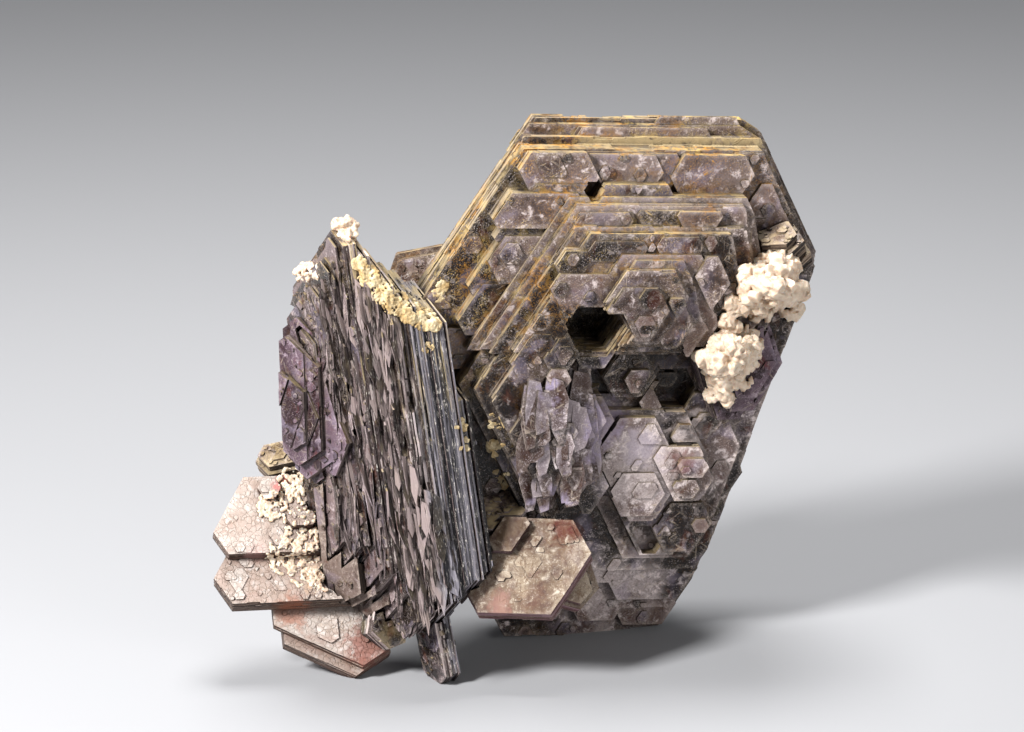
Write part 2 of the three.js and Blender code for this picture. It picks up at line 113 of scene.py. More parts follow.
def cad_triangles(node):
    """The node's corner points in millimetres, with shared ones merged, and its triangles."""
    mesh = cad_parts[node].data
    mesh.calc_loop_triangles()
    points = np.zeros(len(mesh.vertices) * 3)
    mesh.vertices.foreach_get("co", points)
    points = points.reshape(-1, 3) / MM
    triangles = np.zeros(len(mesh.loop_triangles) * 3, int)
    mesh.loop_triangles.foreach_get("vertices", triangles)
    triangles = triangles.reshape(-1, 3)
    _, first, merged = np.unique(np.round(points, 3), axis=0, return_index=True, return_inverse=True)
    triangles = merged.reshape(-1)[triangles]
    whole = (
        (triangles[:, 0] != triangles[:, 1])
        & (triangles[:, 1] != triangles[:, 2])
        & (triangles[:, 2] != triangles[:, 0])
    )
    return points[first], triangles[whole]


def crystal_axes(points, triangles):
    """A matrix whose rows are the book's u, v and c axes: c is square to its pages, u to its largest side."""
    corners = points[triangles]
    cross = np.cross(corners[:, 1] - corners[:, 0], corners[:, 2] - corners[:, 0])
    area = np.linalg.norm(cross, axis=1)
    keep = area > 1e-6
    normals = cross[keep] / area[keep][:, None]
    area = area[keep]

    def main_direction(chosen):
        best = max(
            np.nonzero(chosen)[0][np.argsort(-area[chosen])[:40]],
            key=lambda i: area[np.abs(normals @ normals[i]) > 0.999].sum(),
        )
        near = np.abs(normals @ normals[best]) > 0.999
        signs = np.sign(normals[near] @ normals[best])
        direction = (normals[near] * (area[near] * signs)[:, None]).sum(0)
        return direction / np.linalg.norm(direction)

    c = main_direction(np.ones(len(area), bool))
    if c[1] > 0:
        c = -c
    side = main_direction(np.abs(normals @ c) < 0.05)
    u = side - c * (side @ c)
    u /= np.linalg.norm(u)
    if u[0] < 0:
        u = -u
    return np.array([u, np.cross(c, u), c])


def slice_loops(points, triangles, height):
    """The closed outlines of a solid at one height, with the material on their left."""
    above = points[:, 2] > height
    flags = above[triangles]
    crossing = triangles[(flags.sum(1) > 0) & (flags.sum(1) < 3)]
    following = {}
    for triangle in crossing:
        for k in range(3):
            a, b = triangle[k], triangle[(k + 1) % 3]
            if above[a] and not above[b]:
                start = (min(a, b), max(a, b))
            if above[b] and not above[a]:
                end = (min(a, b), max(a, b))
        following[start] = end
    loops = []
    while following:
        first, step = following.popitem()
        keys = [first]
        while step != first and step in following:
            keys.append(step)
            step = following.pop(step)
        if step == first and len(keys) > 2:
            ends = np.array(keys)
            low, high = points[ends[:, 0]], points[ends[:, 1]]
            t = (height - low[:, 2]) / (high[:, 2] - low[:, 2])
            loops.append((low + (high - low) * t[:, None])[:, :2])
    return [loop for loop in map(without_straight_points, loops) if loop is not None]


def without_straight_points(loop):
    """The loop without doubled points and points on straight stretches, or None where nothing is left."""
    for _ in range(3):
        gap = np.linalg.norm(loop - np.roll(loop, 1, 0), axis=1)
        loop = loop[gap > 0.02]
        if len(loop) < 3:
            return None
        before = loop - np.roll(loop, 1, 0)
        after = np.roll(loop, -1, 0) - loop
        bend = before[:, 0] * after[:, 1] - before[:, 1] * after[:, 0]
        span = np.linalg.norm(before, axis=1) * np.linalg.norm(after, axis=1)
        straight = np.abs(bend) < 0.01 * span
        if not straight.any():
            break
        loop = loop[~straight]
        if len(loop) < 3:
            return None
    return loop if abs(loop_area(loop)) > SMALLEST_LOOP else None


def loop_area(loop):
    x, y = loop[:, 0], loop[:, 1]
    return 0.5 * float(np.dot(x, np.roll(y, -1)) - np.dot(y, np.roll(x, -1)))


# ---- Pages ----

@dataclass
class Wear:
    """How a book's page edges have worn."""

    depth: float  # how far in the edges have worn
    length: tuple = (1.0, 6.5)  # of each step along an edge
    slant: float = 0.3  # of the ends of the steps
    level: tuple = None  # where one side faces whose pages end almost flush, as one finely striated face
    level_depth: float = 0.08  # the wear of that side
    level_share: float = 1.0  # the lower share of the pages that end flush there
    leafy: float = 0.0  # the wear of that side's other pages, in long pointed steps

    def steps(self, key, depth, leafy=False):
        """The wear of one side of a page, as [(where it starts along the side, how far in)]."""
        rng = random.Random(key)
        base = depth * rng.random() ** 1.6
        steps = []
        along = -SIDE_REACH
        while along < SIDE_REACH:
            roll = rng.random()
            inward = base
            if roll < 0.2:
                inward = base + depth * rng.uniform(0.3, 1.0)
            elif roll < 0.35:
                inward = base * 0.3
            if leafy:
                inward = depth * rng.random() ** 1.2
            steps.append((along, inward))
            along += rng.uniform(*self.length)
        return steps


def side_steps(p, q, group, seed, wear, share, step_back, front):
    """The side from p to q: where it starts, its directions, its first depth, and the steps along it."""
    length = float(np.hypot(*(q - p)))
    along = (q - p) / length
    inward = np.array([-along[1], along[0]])
    angle = int(round(math.degrees(math.atan2(inward[1], inward[0])) / 4))
    distance = int(round(float(p @ inward) * 2))
    start, end = float(p @ along), float(q @ along)
    key = ((seed * 613 + angle) * 811 + distance) * 977 + group
    steps = wear.steps(key, wear.depth * share)
    if wear.level is not None and -inward @ wear.level > 0.95 and front + p @ inward < 1.5:
        if step_back is None:
            steps = wear.steps(key, wear.leafy * share, leafy=True)
        else:
            steps = wear.steps(key, wear.level_depth * share)
            steps = [(where, back + step_back * share) for where, back in steps]
    if length < 1.0:
        steps = [(-SIDE_REACH, min(steps[0][1], 0.15 * length, 0.06))]
    first = [depth for where, depth in steps if where <= start + END_MARGIN][-1]
    later = [step for step in steps if start + END_MARGIN < step[0] < end - END_MARGIN]
    return p, along, inward, start, first, later


def worn_loop(loop, group, seed, wear, share, step_back):
    """The loop with each side set back in small steps, as real page edges are."""
    front = (loop @ wear.level).max() if wear.level is not None else 0
    ends = np.roll(loop, -1, 0)
    sides = [side_steps(p, q, group, seed, wear, share, step_back, front) for p, q in zip(loop, ends)]
    outline = []
    for i, (p, along, inward, start, level, later) in enumerate(sides):
        q, next_along, next_inward, _, next_first, _ = sides[(i + 1) % len(sides)]
        for where, depth in later:
            if abs(depth - level) > 0.01:
                slant = wear.slant * (abs(depth - level) if depth > level else 0.3 * (level - depth))
                slant = min(slant, 0.45 * wear.length[0])
                base = p + along * (where - start)
                outline.append(base - along * slant + inward * level)
                outline.append(base + along * slant + inward * depth)
                level = depth
        outline.append(corner(q, along, inward, level, next_along, next_inward, next_first))
    return np.array(outline)


def corner(q, along, inward, depth, next_along, next_inward, next_depth):
    """Where two sides that meet at q cross, once each is set back by its own depth."""
    turn = along[0] * next_along[1] - along[1] * next_along[0]
    if abs(turn) < 0.15:
        return q + (inward * depth + next_inward * next_depth) / 2
    a = q + inward * depth
    b = q + next_inward * next_depth
    gap = b - a
    t = (gap[0] * next_along[1] - gap[1] * next_along[0]) / turn
    return a + along * max(-0.8, min(0.8, t))


def is_simple(loop, original):
    """True where the worn loop still turns the same way round and no side has flipped over."""
    area, before = loop_area(loop), loop_area(original)
    if area * before <= 0:
        return False
    count = len(loop)
    steps = np.roll(loop, -1, 0) - loop
    if (np.hypot(steps[:, 0], steps[:, 1]) < 1e-4).any():
        return False
    a, b = loop, np.roll(loop, -1, 0)
    d1 = orientation(a[:, None], b[:, None], a[None])
    d2 = orientation(a[:, None], b[:, None], b[None])
    crossing = (d1 * d2 < 0) & (d1.T * d2.T < 0)
    index = np.arange(count)
    near = np.abs(index[:, None] - index[None]) % (count - 1) <= 1
    return not (crossing & ~near).any()


def orientation(a, b, c):
    """Twice the area of the triangles a, b, c: positive where they run anticlockwise."""
    ab, ac = b - a, c - a
    return ab[..., 0] * ac[..., 1] - ab[..., 1] * ac[..., 0]


def weathered(loop, group, seed, wear, step_back):
    for share in (1.0, 0.5, 0.2):
        worn = worn_loop(loop, group, seed, wear, share, step_back)
        if len(worn) > 2 and is_simple(worn, loop):
            return worn
    return loop


def triangulated(loops):
    """The triangles that fill an outline and its holes, or None where they can't be found."""
    corners = np.concatenate(loops)
    found = tessellate_polygon([[Vector((x, y, 0)) for x, y in loop] for loop in loops])
    if len(found) != len(corners) - 2 + 2 * (len(loops) - 1):
        return None
    triangles = np.array(found)
    area = orientation(*(corners[triangles[:, k]] for k in range(3)))
    expected = sum(loop_area(loop) for loop in loops)
    if abs(np.abs(area).sum() / 2 - expected) > 0.001 * expected:
        return None
    flipped = area < 0
    triangles[flipped] = triangles[flipped][:, ::-1]
    return triangles if meet_edge_to_edge(triangles, loops) else None


def meet_edge_to_edge(triangles, loops):
    """True where every edge is shared by two triangles, but for those along the outlines."""
    edges = [edge for a, b, c in triangles.tolist() for edge in ((a, b), (b, c), (c, a))]
    rim = set()
    start = 0
    for loop in loops:
        count = len(loop)
        rim.update((start + i, start + (i + 1) % count) for i in range(count))
        start += count
    known = set(edges)
    return len(known) == len(edges) and {edge for edge in known if edge[::-1] not in known} == rim


class Shells(Pile):
    """Closed prisms that don't touch each other."""

    def add_prism(self, loops, low, high):
        """Adds one prism with its holes, and says whether that worked."""
        triangles = triangulated(loops)
        if triangles is None:
            return False
        corners = np.concatenate(loops)
        size = len(corners)
        points = [(x, y, z) for z in (low, high) for x, y in corners]
        faces = []
        for a, b, c in triangles.tolist():
            faces += [(size + a, size + b, size + c), (a, c, b)]
        start = 0
        for loop in loops:
            count = len(loop)
            for i in range(count):
                a, b = start + i, start + (i + 1) % count
                faces.append((a, b, b + size, a + size))
            start += count
        self.add(points, faces)
        return True


def joined(first, second):
    """The union of two closed meshes, left in the first object; the second is removed."""
    modifier = first.modifiers.new("join", "BOOLEAN")
    modifier.operation = "UNION"
    modifier.solver = "MANIFOLD"
    modifier.object = second
    graph = bpy.context.evaluated_depsgraph_get()
    result = bpy.data.meshes.new_from_object(first.evaluated_get(graph))
    first.modifiers.clear()
    first.data = result
    bpy.data.objects.remove(second)
    return first


def contains(loop, point):
    x, y = point
    a, b = loop, np.roll(loop, -1, 0)
    spans = (a[:, 1] > y) != (b[:, 1] > y)
    with np.errstate(divide="ignore", invalid="ignore"):
        cut = a[:, 0] + (y - a[:, 1]) * (b[:, 0] - a[:, 0]) / (b[:, 1] - a[:, 1])
    return bool((spans & (cut > x)).sum() % 2)


def page_regions(loops):
    """Outer loops, each with the holes inside it."""
    outers = [loop for loop in loops if loop_area(loop) > 0]
    holes = [loop for loop in loops if loop_area(loop) < 0]
    return [[outer] + [hole for hole in holes if contains(outer, hole[0])] for outer in outers]


def cut_pages(local, triangles, rng, page, borrow):
    """The pages of a book from the lowest up, as (low, high, outlines, random number)."""
    low, high = local[:, 2].min(), local[:, 2].max()
    pages = []
    height = low
    while height < high - 1e-3:
        top = height + rng.uniform(*page)
        if high - top < page[0]:
            top = high
        middle = (height + top) / 2 + NUDGE
        source = min(max(middle + rng.gauss(0, borrow), low + 0.05), high - 0.05) if borrow else middle
        pages.append((height, top, slice_loops(local, triangles, source), rng.random()))
        height = top
    return pages


def paged_book(name, node, seed, page, wear, borrow=0.0):
    """The CAD book cut into worn pages, as one closed mesh in the book's own axes, and those axes.

    A page takes its outline from a slice up to about the borrow distance away, so that pages end out of step.
    """
    points, triangles = cad_triangles(node)
    axes = crystal_axes(points, triangles)
    if wear.level is not None:
        level = (axes @ np.array(wear.level))[:2]
        wear = replace(wear, level=level / np.linalg.norm(level))
    pages = cut_pages(points @ axes.T, triangles, random.Random(seed), page, borrow)
    step_backs = level_steps(pages, wear)
    stacks = [Shells(), Shells()]
    group = 0
    for index, (height, top, loops, roll) in enumerate(pages):
        if roll < NEW_GROUP:
            group += 1
        for region in page_regions(loops):
            worn = [weathered(loop, group, seed, wear, step_backs[index]) for loop in region]
            for outlines in (worn, region, region[:1]):
                if stacks[index % 2].add_prism(outlines, height - OVERLAP, top + OVERLAP):
                    break
    return joined(stacks[0].mesh_object(name), stacks[1].mesh_object(name + "_b")), axes


def level_steps(pages, wear):
    """How far each page's level side must move in, to end flush with its neighbours."""
    if wear.level is None:
        return [0.0] * len(pages)
    fronts = [max([(loop @ wear.level).max() for loop in loops] or [0.0]) for _, _, loops, _ in pages]
    heights = np.array([(low + high) / 2 for low, high, _, _ in pages])
    near = np.exp(-((heights[:, None] - heights[None]) / 2.2) ** 2)
    level = near @ fronts / near.sum(1)
    steps = list(np.clip(fronts - level, -0.7, 1.5))
    last_level = round(len(pages) * wear.level_share)
    return [step if i < last_level else None for i, step in enumerate(steps)]


def to_world(book, axes):
    matrix = Matrix(axes.T.tolist()).to_4x4()
    book.data.transform(Matrix.Scale(MM, 4) @ matrix)
    return book


# ---- Growth steps on the cleavage faces ----

def six_sided(rng, x, y, reach):
    """An outline with its sides parallel to the crystal's own, each at its own distance."""
    sides = [reach * rng.uniform(0.42, 1.0) for _ in range(6)]
    for _ in range(2):
        sides = [min(sides[k], 0.92 * (sides[k - 1] + sides[(k + 1) % 6])) for k in range(6)]
    loop = []
    for k in range(6):
        a, b = math.radians(60 * k), math.radians(60 * k + 60)
        d, e = sides[k], sides[(k + 1) % 6]
        across = math.sin(b - a)
        loop.append((x + (d * math.sin(b) - e * math.sin(a)) / across,
                     y + (e * math.cos(a) - d * math.cos(b)) / across))
    return np.array(loop)


def fitted(loop, centre, height, face_height):
    """The loop shrunk until it lies on one flat face, and by how much, or None where it can't."""
    scale = 1.0
    for _ in range(4):
        middles = (loop + np.roll(loop, -1, 0)) / 2
        heights = [face_height(*p) for p in np.concatenate([loop, middles])]
        if all(h is not None and abs(h - height) < FLAT_ENOUGH for h in heights):
            return loop, scale
        loop = centre + (loop - centre) * SHRINK
        scale *= SHRINK
    return None


def add_steps(book, seed, count, reach, thickness=(0.1, 0.35), facing=1, batches=4, patches=()):
    """Thin six-sided plates grown on the flat faces that look along facing times c.

    They lie anywhere on the book, or only in the patches (x, y, radius) where those are given.
    """
    rng = random.Random(seed)
    mesh = book.data
    tree = BVHTree.FromPolygons([v.co for v in mesh.vertices], [p.vertices[:] for p in mesh.polygons])
    low, high = extent(book)
    start = (high.z + 2) if facing > 0 else (low.z - 2)

    def face_height(x, y):
        hit, normal, _, _ = tree.ray_cast(Vector((x, y, start)), Vector((0, 0, -facing)))
        return hit.z if hit and abs(normal.z) > 0.9 else None

    stacks = [Shells() for _ in range(batches)]
    taken = [[] for _ in range(batches)]
    for _ in range(count):
        x, y = rng.uniform(low.x, high.x), rng.uniform(low.y, high.y)
        if patches:
            x, y = point_in(rng, rng.choice(patches))
        size = reach[0] + (reach[1] - reach[0]) * rng.random() ** 2.5
        height = face_height(x, y)
        thick = rng.uniform(*thickness)
        loop = six_sided(rng, x, y, size)
        found = fitted(loop, np.array([x, y]), height, face_height) if height is not None else None
        if found is None or size * found[1] < 0.6 * reach[0]:
            continue
        radius = size * found[1] * STEP_SPACING
        bottom, top = sorted((height - facing * 0.03, height + facing * thick))
        for stack, circles in zip(stacks, taken):
            if all(math.dist(c[:2], (x, y)) > c[2] + radius for c in circles):
                if stack.add_prism([found[0]], bottom, top):
                    circles.append((x, y, radius))
                break
    for i, stack in enumerate(stacks):
        if stack.points:
            book = joined(book, stack.mesh_object(f"steps_{i}"))
    return book


def point_in(rng, patch):
    """A random point in a round patch (x, y, radius)."""
    x, y, radius = patch
    turn, away = rng.uniform(0, 2 * math.pi), radius * math.sqrt(rng.random())
    return x + away * math.cos(turn), y + away * math.sin(turn)


def extent(piece):
    corners = np.array([v.co for v in piece.data.vertices])
    return Vector(corners.min(0)), Vector(corners.max(0))


# ---- What the materials read from a book ----

def plate_finder(mesh, basal):
    """A function that gives, for a corner of a cleavage face, one corner that stands for its whole plate."""
    parent = list(range(len(mesh.vertices)))

    def root(i):
        while parent[i] != i:
            parent[i] = parent[parent[i]]
            i = parent[i]
        return i

    for polygon in mesh.polygons:
        if basal[polygon.index]:
            first = root(polygon.vertices[0])
            for v in polygon.vertices[1:]:
                parent[root(v)] = first
    return root


def mark(book, seed):
    """Stores each book's own coordinates, which faces are cleavage faces, and one tone per plate and page."""
    mesh = book.data
    points = np.array([v.co for v in mesh.vertices], float)
    heights = points[:, 2]
    normals = np.array([polygon.normal for polygon in mesh.polygons], float)
    basal = np.abs(normals[:, 2]) > 0.8
    plate = plate_finder(mesh, basal)
    tones = np.zeros(len(basal))
    for polygon, normal in zip(mesh.polygons, normals):
        i = polygon.index
        if basal[i]:
            key = plate(polygon.vertices[0]) * 7 + seed
        else:
            side = round(math.degrees(math.atan2(normal[1], normal[0])) / 20)
            key = round(polygon.center.z * 20) * 131 + side * 17 + seed
        tones[i] = random.Random(key).random()
    for name, kind, domain, key, values in (
        ("crystal", "FLOAT_VECTOR", "POINT", "vector", points.ravel() + seed * 31.7),
        ("level", "FLOAT", "POINT", "value", (heights - heights.min()) / (heights.max() - heights.min())),
        ("basal", "FLOAT", "FACE", "value", basal.astype(float)),
        ("tone", "FLOAT", "FACE", "value", tones),
    ):
        mesh.attributes.new(name, kind, domain).data.foreach_set(key, values)


# ---- Materials ----

class Paint:
    """Short names for the shader nodes that the materials are made of."""

    def __init__(self, name):
        self.material = bpy.data.materials.new(name)
        self.material.use_nodes = True
        self.tree = self.material.node_tree
        self.shader = self.tree.nodes["Principled BSDF"]
        geometry = self.node("NewGeometry")
        self.normal = geometry.outputs["Normal"]
        self.place = self.scaled(geometry.outputs["Position"], 1 / MM, 1 / MM, 1 / MM)

    def node(self, kind, *values, **settings):
        made = self.tree.nodes.new("ShaderNode" + kind)
        for key, value in settings.items():
            setattr(made, key, value)
        for socket, value in zip(made.inputs, values):
            self.set(socket, value)
        return made

    def set(self, socket, value):
        if isinstance(value, bpy.types.NodeSocket):
            self.tree.links.new(value, socket)
        elif value is not None:
            if socket.type == "RGBA" and len(value) == 3:
                value = (*value, 1)
            socket.default_value = value

    def fill(self, node, **values):
        """Sets the node's inputs by name."""
        for name, value in values.items():
            self.set(node.inputs[name], value)
        return node

    def attribute(self, name, output="Fac"):
        return self.node("Attribute", attribute_name=name).outputs[output]

    def maths(self, operation, *values):
        return self.node("Math", *values, operation=operation).outputs[0]

    def times(self, first, *others):
        for value in others:
            first = self.maths("MULTIPLY", first, value)
        return first

    def plus(self, first, *others):
        for value in others:
            first = self.maths("ADD", first, value)
        return first

    def line(self, value, slope, start):
        return self.maths("MULTIPLY_ADD", value, slope, start)

    def vector(self, operation, *values):
        return self.node("VectorMath", *values, operation=operation).outputs[0]

    def scaled(self, vector, x, y, z):
        return self.vector("MULTIPLY", vector, (x, y, z))

    def dot(self, vector, direction):
        return self.node("VectorMath", vector, direction, operation="DOT_PRODUCT").outputs["Value"]

    def noise(self, vector, scale, detail=3, roughness=0.55, distortion=0.0):
        made = self.node("TexNoise")
        self.fill(made, Vector=vector, Scale=scale, Detail=detail, Roughness=roughness, Distortion=distortion)
        return made.outputs["Fac"]

    def ramp(self, value, start, end, low=0.0, high=1.0):
        return self.node("MapRange", value, start, end, low, high, interpolation_type="SMOOTHSTEP").outputs[0]

    def mix(self, share, a, b):
        made = self.node("Mix", data_type="RGBA")
        for index, value in ((0, share), (6, a), (7, b)):
            self.set(made.inputs[index], value)
        return made.outputs[2]

    def blend(self, share, a, b):
        made = self.node("Mix", data_type="FLOAT")
        for index, value in ((0, share), (2, a), (3, b)):
            self.set(made.inputs[index], value)
        return made.outputs[0]

    def flatness(self, radius):
        """1 on flat stretches, less within the radius of an edge, in millimetres."""
        return self.dot(self.node("Bevel", radius * MM, samples=SHADE_SAMPLES).outputs[0], self.normal)

    def crevices(self, distance):
        """1 in deep corners, within the distance in millimetres."""
        made = self.fill(self.node("AmbientOcclusion", samples=SHADE_SAMPLES), Distance=distance * MM)
        return self.maths("SUBTRACT", 1.0, made.outputs["AO"])

    def spot(self, where, radius, ragged):
        """1 inside a ragged round patch at (x, z), seen from the front, and 0 outside it."""
        x, z = where
        apart = self.node("VectorMath", self.scaled(self.place, 1, 0, 1), (x, 0, z), operation="DISTANCE")
        distance = self.plus(apart.outputs["Value"], self.line(ragged, radius * 2.0, -radius))
        return self.ramp(distance, radius, radius * 0.35)

    def tilted(self, tone, amount):
        """The normal, leaned by a different amount for each plate, so that plates catch the light in turn."""
        lean = self.fill(self.node("TexWhiteNoise", noise_dimensions="1D"), W=self.times(tone, 100))
        spread = self.vector("SUBTRACT", lean.outputs["Color"], (0.5, 0.5, 0.5))
        leaned = self.vector("ADD", self.scaled(spread, amount, amount, amount), self.normal)
        return self.vector("NORMALIZE", leaned)

    def bump(self, height, strength, distance, normal=None):
        made = self.node("Bump")
        self.fill(made, Height=height, Strength=strength, Distance=distance * MM, Normal=normal)
        return made.outputs["Normal"]

    def surface(self, colour, roughness, normal=None):
        self.fill(self.shader, **{"Base Color": colour, "Roughness": roughness, "Normal": normal})


class Mica(Paint):
    """Mica: mottled cleavage faces, striated page edges, iron stain and clay on ledges and in corners, with
    painted shade in corners and painted highlights on rims and as glints.
    """

    def __init__(self, name, look):
        super().__init__(name)
        self.look = look
        self.crystal = self.attribute("crystal", "Vector")
        self.tone = self.attribute("tone")
        self.basal = self.attribute("basal")
        self.up = self.dot(self.normal, (0, 0, 1))
        self.front = self.ramp(self.dot(self.normal, (0, -1, 0)), -0.2, 0.15)
        self.cloud = self.noise(self.crystal, 0.13, 4, 0.62, 0.8)
        self.mottle = self.noise(self.crystal, 0.62, 6, 0.72, 0.4)
        self.grain = self.noise(self.crystal, 3.2, 4, 0.7)
        self.streak = self.noise(self.scaled(self.crystal, 0.22, 0.22, 5), 1.0, 4, 0.7)
        self.edges = self.flatness(HIGHLIGHT_RIM_WIDTH)
        self.ragged = self.ramp(self.grain, 0.3, 0.65, 0.1, 0.9)
        self.patchy = self.ramp(self.noise(self.crystal, 0.3, 3), 0.42, 0.62)
        self.lines = self.times(self.cleavage_lines(look["line_scale"]), self.patchy)
        self.cracks = self.crack_net() if look["crackle"] else None
        colour, stain, clay = self.weathered(self.mix(self.basal, self.side_colour(), self.face_colour()))
        self.surface(colour, self.roughness(stain, clay), self.relief())
        self.fill(self.shader, **{"IOR": 1.58, "Specular IOR Level": look["gloss"]})

    def tinted(self, colour, share, tint):
        """The colour with a share of one of the look's own colours over it."""
        return self.mix(share, colour, self.look[tint])

    def cleavage_lines(self, scale, long=0.12):
        """Fine straight lines along the crystal's three side directions."""
        total = None
        for turn in (30, 90, 150):
            angle = math.radians(turn)
            across = self.dot(self.crystal, (math.cos(angle), math.sin(angle), 0))
            along = self.dot(self.crystal, (-math.sin(angle), math.cos(angle), 0))
            height = self.dot(self.crystal, (0, 0, 1))
            place = self.node("CombineXYZ", across, self.times(along, long), height).outputs[0]
            line = self.ramp(self.noise(place, scale, 2, 0.6), 0.6, 0.72)
            total = line if total is None else self.maths("MAXIMUM", total, line)
        return total

    def crack_net(self):
        """1 along a net of fine cracks, where the mottling is light."""
        wander = self.node("TexNoise", self.crystal, None, 1.5, 2).outputs["Color"]
        bent = self.vector("ADD", self.crystal, self.scaled(wander, 0.8, 0.8, 0))
        cells = self.fill(self.node("TexVoronoi", feature="DISTANCE_TO_EDGE"), Vector=bent, Scale=1.25)
        return self.times(self.ramp(cells.outputs["Distance"], 0.1, 0.0), self.ramp(self.mottle, 0.35, 0.6))

    def face_colour(self):
        """The colour of the cleavage faces: dark to light plates, with lilac and rusty patches and lines,
        painted highlights on the plate rims and painted glints.
        """
        look = self.look
        share = self.line(self.tone, look["plate_contrast"], -0.5 * look["plate_contrast"])
        share = self.plus(share, self.plus(self.times(self.cloud, 0.7), self.times(self.mottle, 0.35)))
        # Painted highlight: the rims of each plate are mixed towards the light colour, as if their thin edges
        # caught the light.
        highlight_rims = self.times(self.ramp(self.edges, 0.995, 0.85), self.ragged)
        light_mottle_and_rim_highlight = self.plus(self.ramp(self.mottle, 0.5, 0.68), highlight_rims)
        pale = [self.times(self.spot(where, radius, self.cloud), self.front, amount)
                for where, radius, amount in look["pale"]]
        if pale:
            share = self.line(self.plus(*pale), 0.3, share)
            light_mottle_and_rim_highlight = self.plus(light_mottle_and_rim_highlight, *pale)
        face = self.mix(self.ramp(share, *look["tones"]), look["dark"], look["mid"])
        light_mottle_and_rim_highlight = self.times(self.ramp(light_mottle_and_rim_highlight, 0.1, 1.2), self.ramp(share, 0.4, 0.6, 0.35, 1.0))
        face = self.tinted(face, self.times(light_mottle_and_rim_highlight, look["mottle"]), "light")
        lilac = self.ramp(self.noise(self.scaled(self.crystal, 1, 1, 1.7), 0.2, 3, 0.5, 0.5), 0.54, 0.68)
        face = self.tinted(face, self.times(lilac, look["lilac_share"]), "lilac")
        flush = self.ramp(self.noise(self.scaled(self.crystal, 1.3, 1, 0.8), 0.18, 4, 0.6, 1.0), 0.56, 0.7)
        face = self.tinted(face, self.times(flush, look["flush_share"]), "flush")
        face = self.tinted(face, self.times(self.ramp(self.grain, 0.4, 0.72), 0.45), "dark")
        face = self.tinted(face, self.times(self.lines, look["lines"]), "line_colour")
        if look["scratches"]:
            face = self.scratched(face)
        specks = self.ramp(self.noise(self.crystal, 1.9, 5, 0.8), 0.6, 0.68)
        face = self.tinted(face, self.times(specks, self.patchy, look["specks"]), "speck_colour")
        # Painted glints: small bright flecks of the light colour, as if fine cracks caught the light.
        painted_glints = self.ramp(self.noise(self.crystal, 5.0, 2, 0.6), 0.6, 0.66)
        painted_glints = self.times(painted_glints, self.ramp(self.cloud, 0.4, 0.6))
        face = self.tinted(face, self.times(painted_glints, look["specks"]), "light")
        if self.cracks:
            face = self.tinted(face, self.times(self.cracks, look["crackle"]), "crack_colour")
        return face

    def scratched(self, face):
        for turn in (0.35, 1.25, 2.3):
            across = self.dot(self.crystal, (math.cos(turn), math.sin(turn), 0))
            along = self.dot(self.crystal, (-math.sin(turn) * 0.1, math.cos(turn) * 0.1, 0.3))
            scratch = self.noise(self.node("CombineXYZ", across, along, turn).outputs[0], 3.6, 3, 0.7, 0.5)
            share = self.times(self.ramp(scratch, 0.6, 0.66), self.look["scratches"])
            face = self.tinted(face, share, "line_colour")
        return face

    def side_colour(self):
        """The colour of the page edges: streaks along the pages, flecks and ochre."""
        look = self.look
        broad = self.noise(self.scaled(self.crystal, 0.06, 0.06, 0.7), 1.0, 4, 0.6)
        page_tone = self.times(self.maths("SUBTRACT", self.tone, 0.5), look["page_contrast"])
        share = self.ramp(self.line(self.streak, 0.5, self.line(broad, 0.35, page_tone)), 0.34, 0.62)
        side = self.mix(share, look["edge_dark"], look["edge_light"])
        if "warm_from" in look:
            level = self.plus(self.attribute("level"), self.line(self.cloud, 0.3, -0.15))
            warm = self.ramp(level, look["warm_from"], look["warm_from"] + 0.1)
            side = self.mix(warm, side, self.mix(share, look["warm_dark"], look["warm_light"]))
        fleck = self.ramp(self.noise(self.scaled(self.crystal, 0.6, 0.6, 3.6), 1.5, 5, 0.75), 0.57, 0.63)
        side = self.tinted(side, self.times(fleck, look["flecks"]), "fleck_colour")
        ochre = self.ramp(self.noise(self.scaled(self.crystal, 0.07, 0.07, 1.6), 1.0, 5, 0.75), 0.56, 0.62)
        height = self.ramp(self.dot(self.place, (0, 0, 1)), 28, 62)
        return self.tinted(side, self.times(ochre, height, look["ochre"]), "clay_colour")

    def weathered(self, colour):
        """The colour with spots, pale rims of painted highlight, stain, clay and painted shade in the
        crevices, and the shares of stain and clay.
        """
        look = self.look
        for where, radius, tint, amount in look["spots"]:
            spot = self.times(self.spot(where, radius, self.mottle), self.front, amount)
            colour = self.mix(spot, colour, tint)
        # Painted highlight: pale rims along the edges of plates and pages. The iron stain that also follows
        # these rims is real.
        highlight_rims = self.times(self.ramp(self.edges, 0.8, 0.71), self.ramp(self.mottle, 0.4, 0.6, 0.15, 1.0))
        highlight_rims = self.times(highlight_rims, self.ragged, self.blend(self.basal, 0.45, 1.0))
        colour = self.tinted(colour, self.times(highlight_rims, look["highlight_rims"]), "rim_highlight_colour")
        deep = self.crevices(CREVICE_REACH)
        upper = self.ramp(self.up, 0.1, 0.75)
        stain = self.iron_stain(highlight_rims, deep, upper)
        rust = self.mix(self.ramp(self.cloud, 0.42, 0.6), look["stain_colour"], look["gold_colour"])
        colour = self.mix(self.times(stain, look["stain"]), colour, rust)
        clay = self.clay_cover(upper)
        colour = self.tinted(colour, clay, "clay_colour")
        # Painted shade: the deeper the corner, the more the colour turns to the shade colour.
        return self.tinted(colour, self.times(self.ramp(deep, 0.22, 0.75), 0.85), "shade"), stain, clay

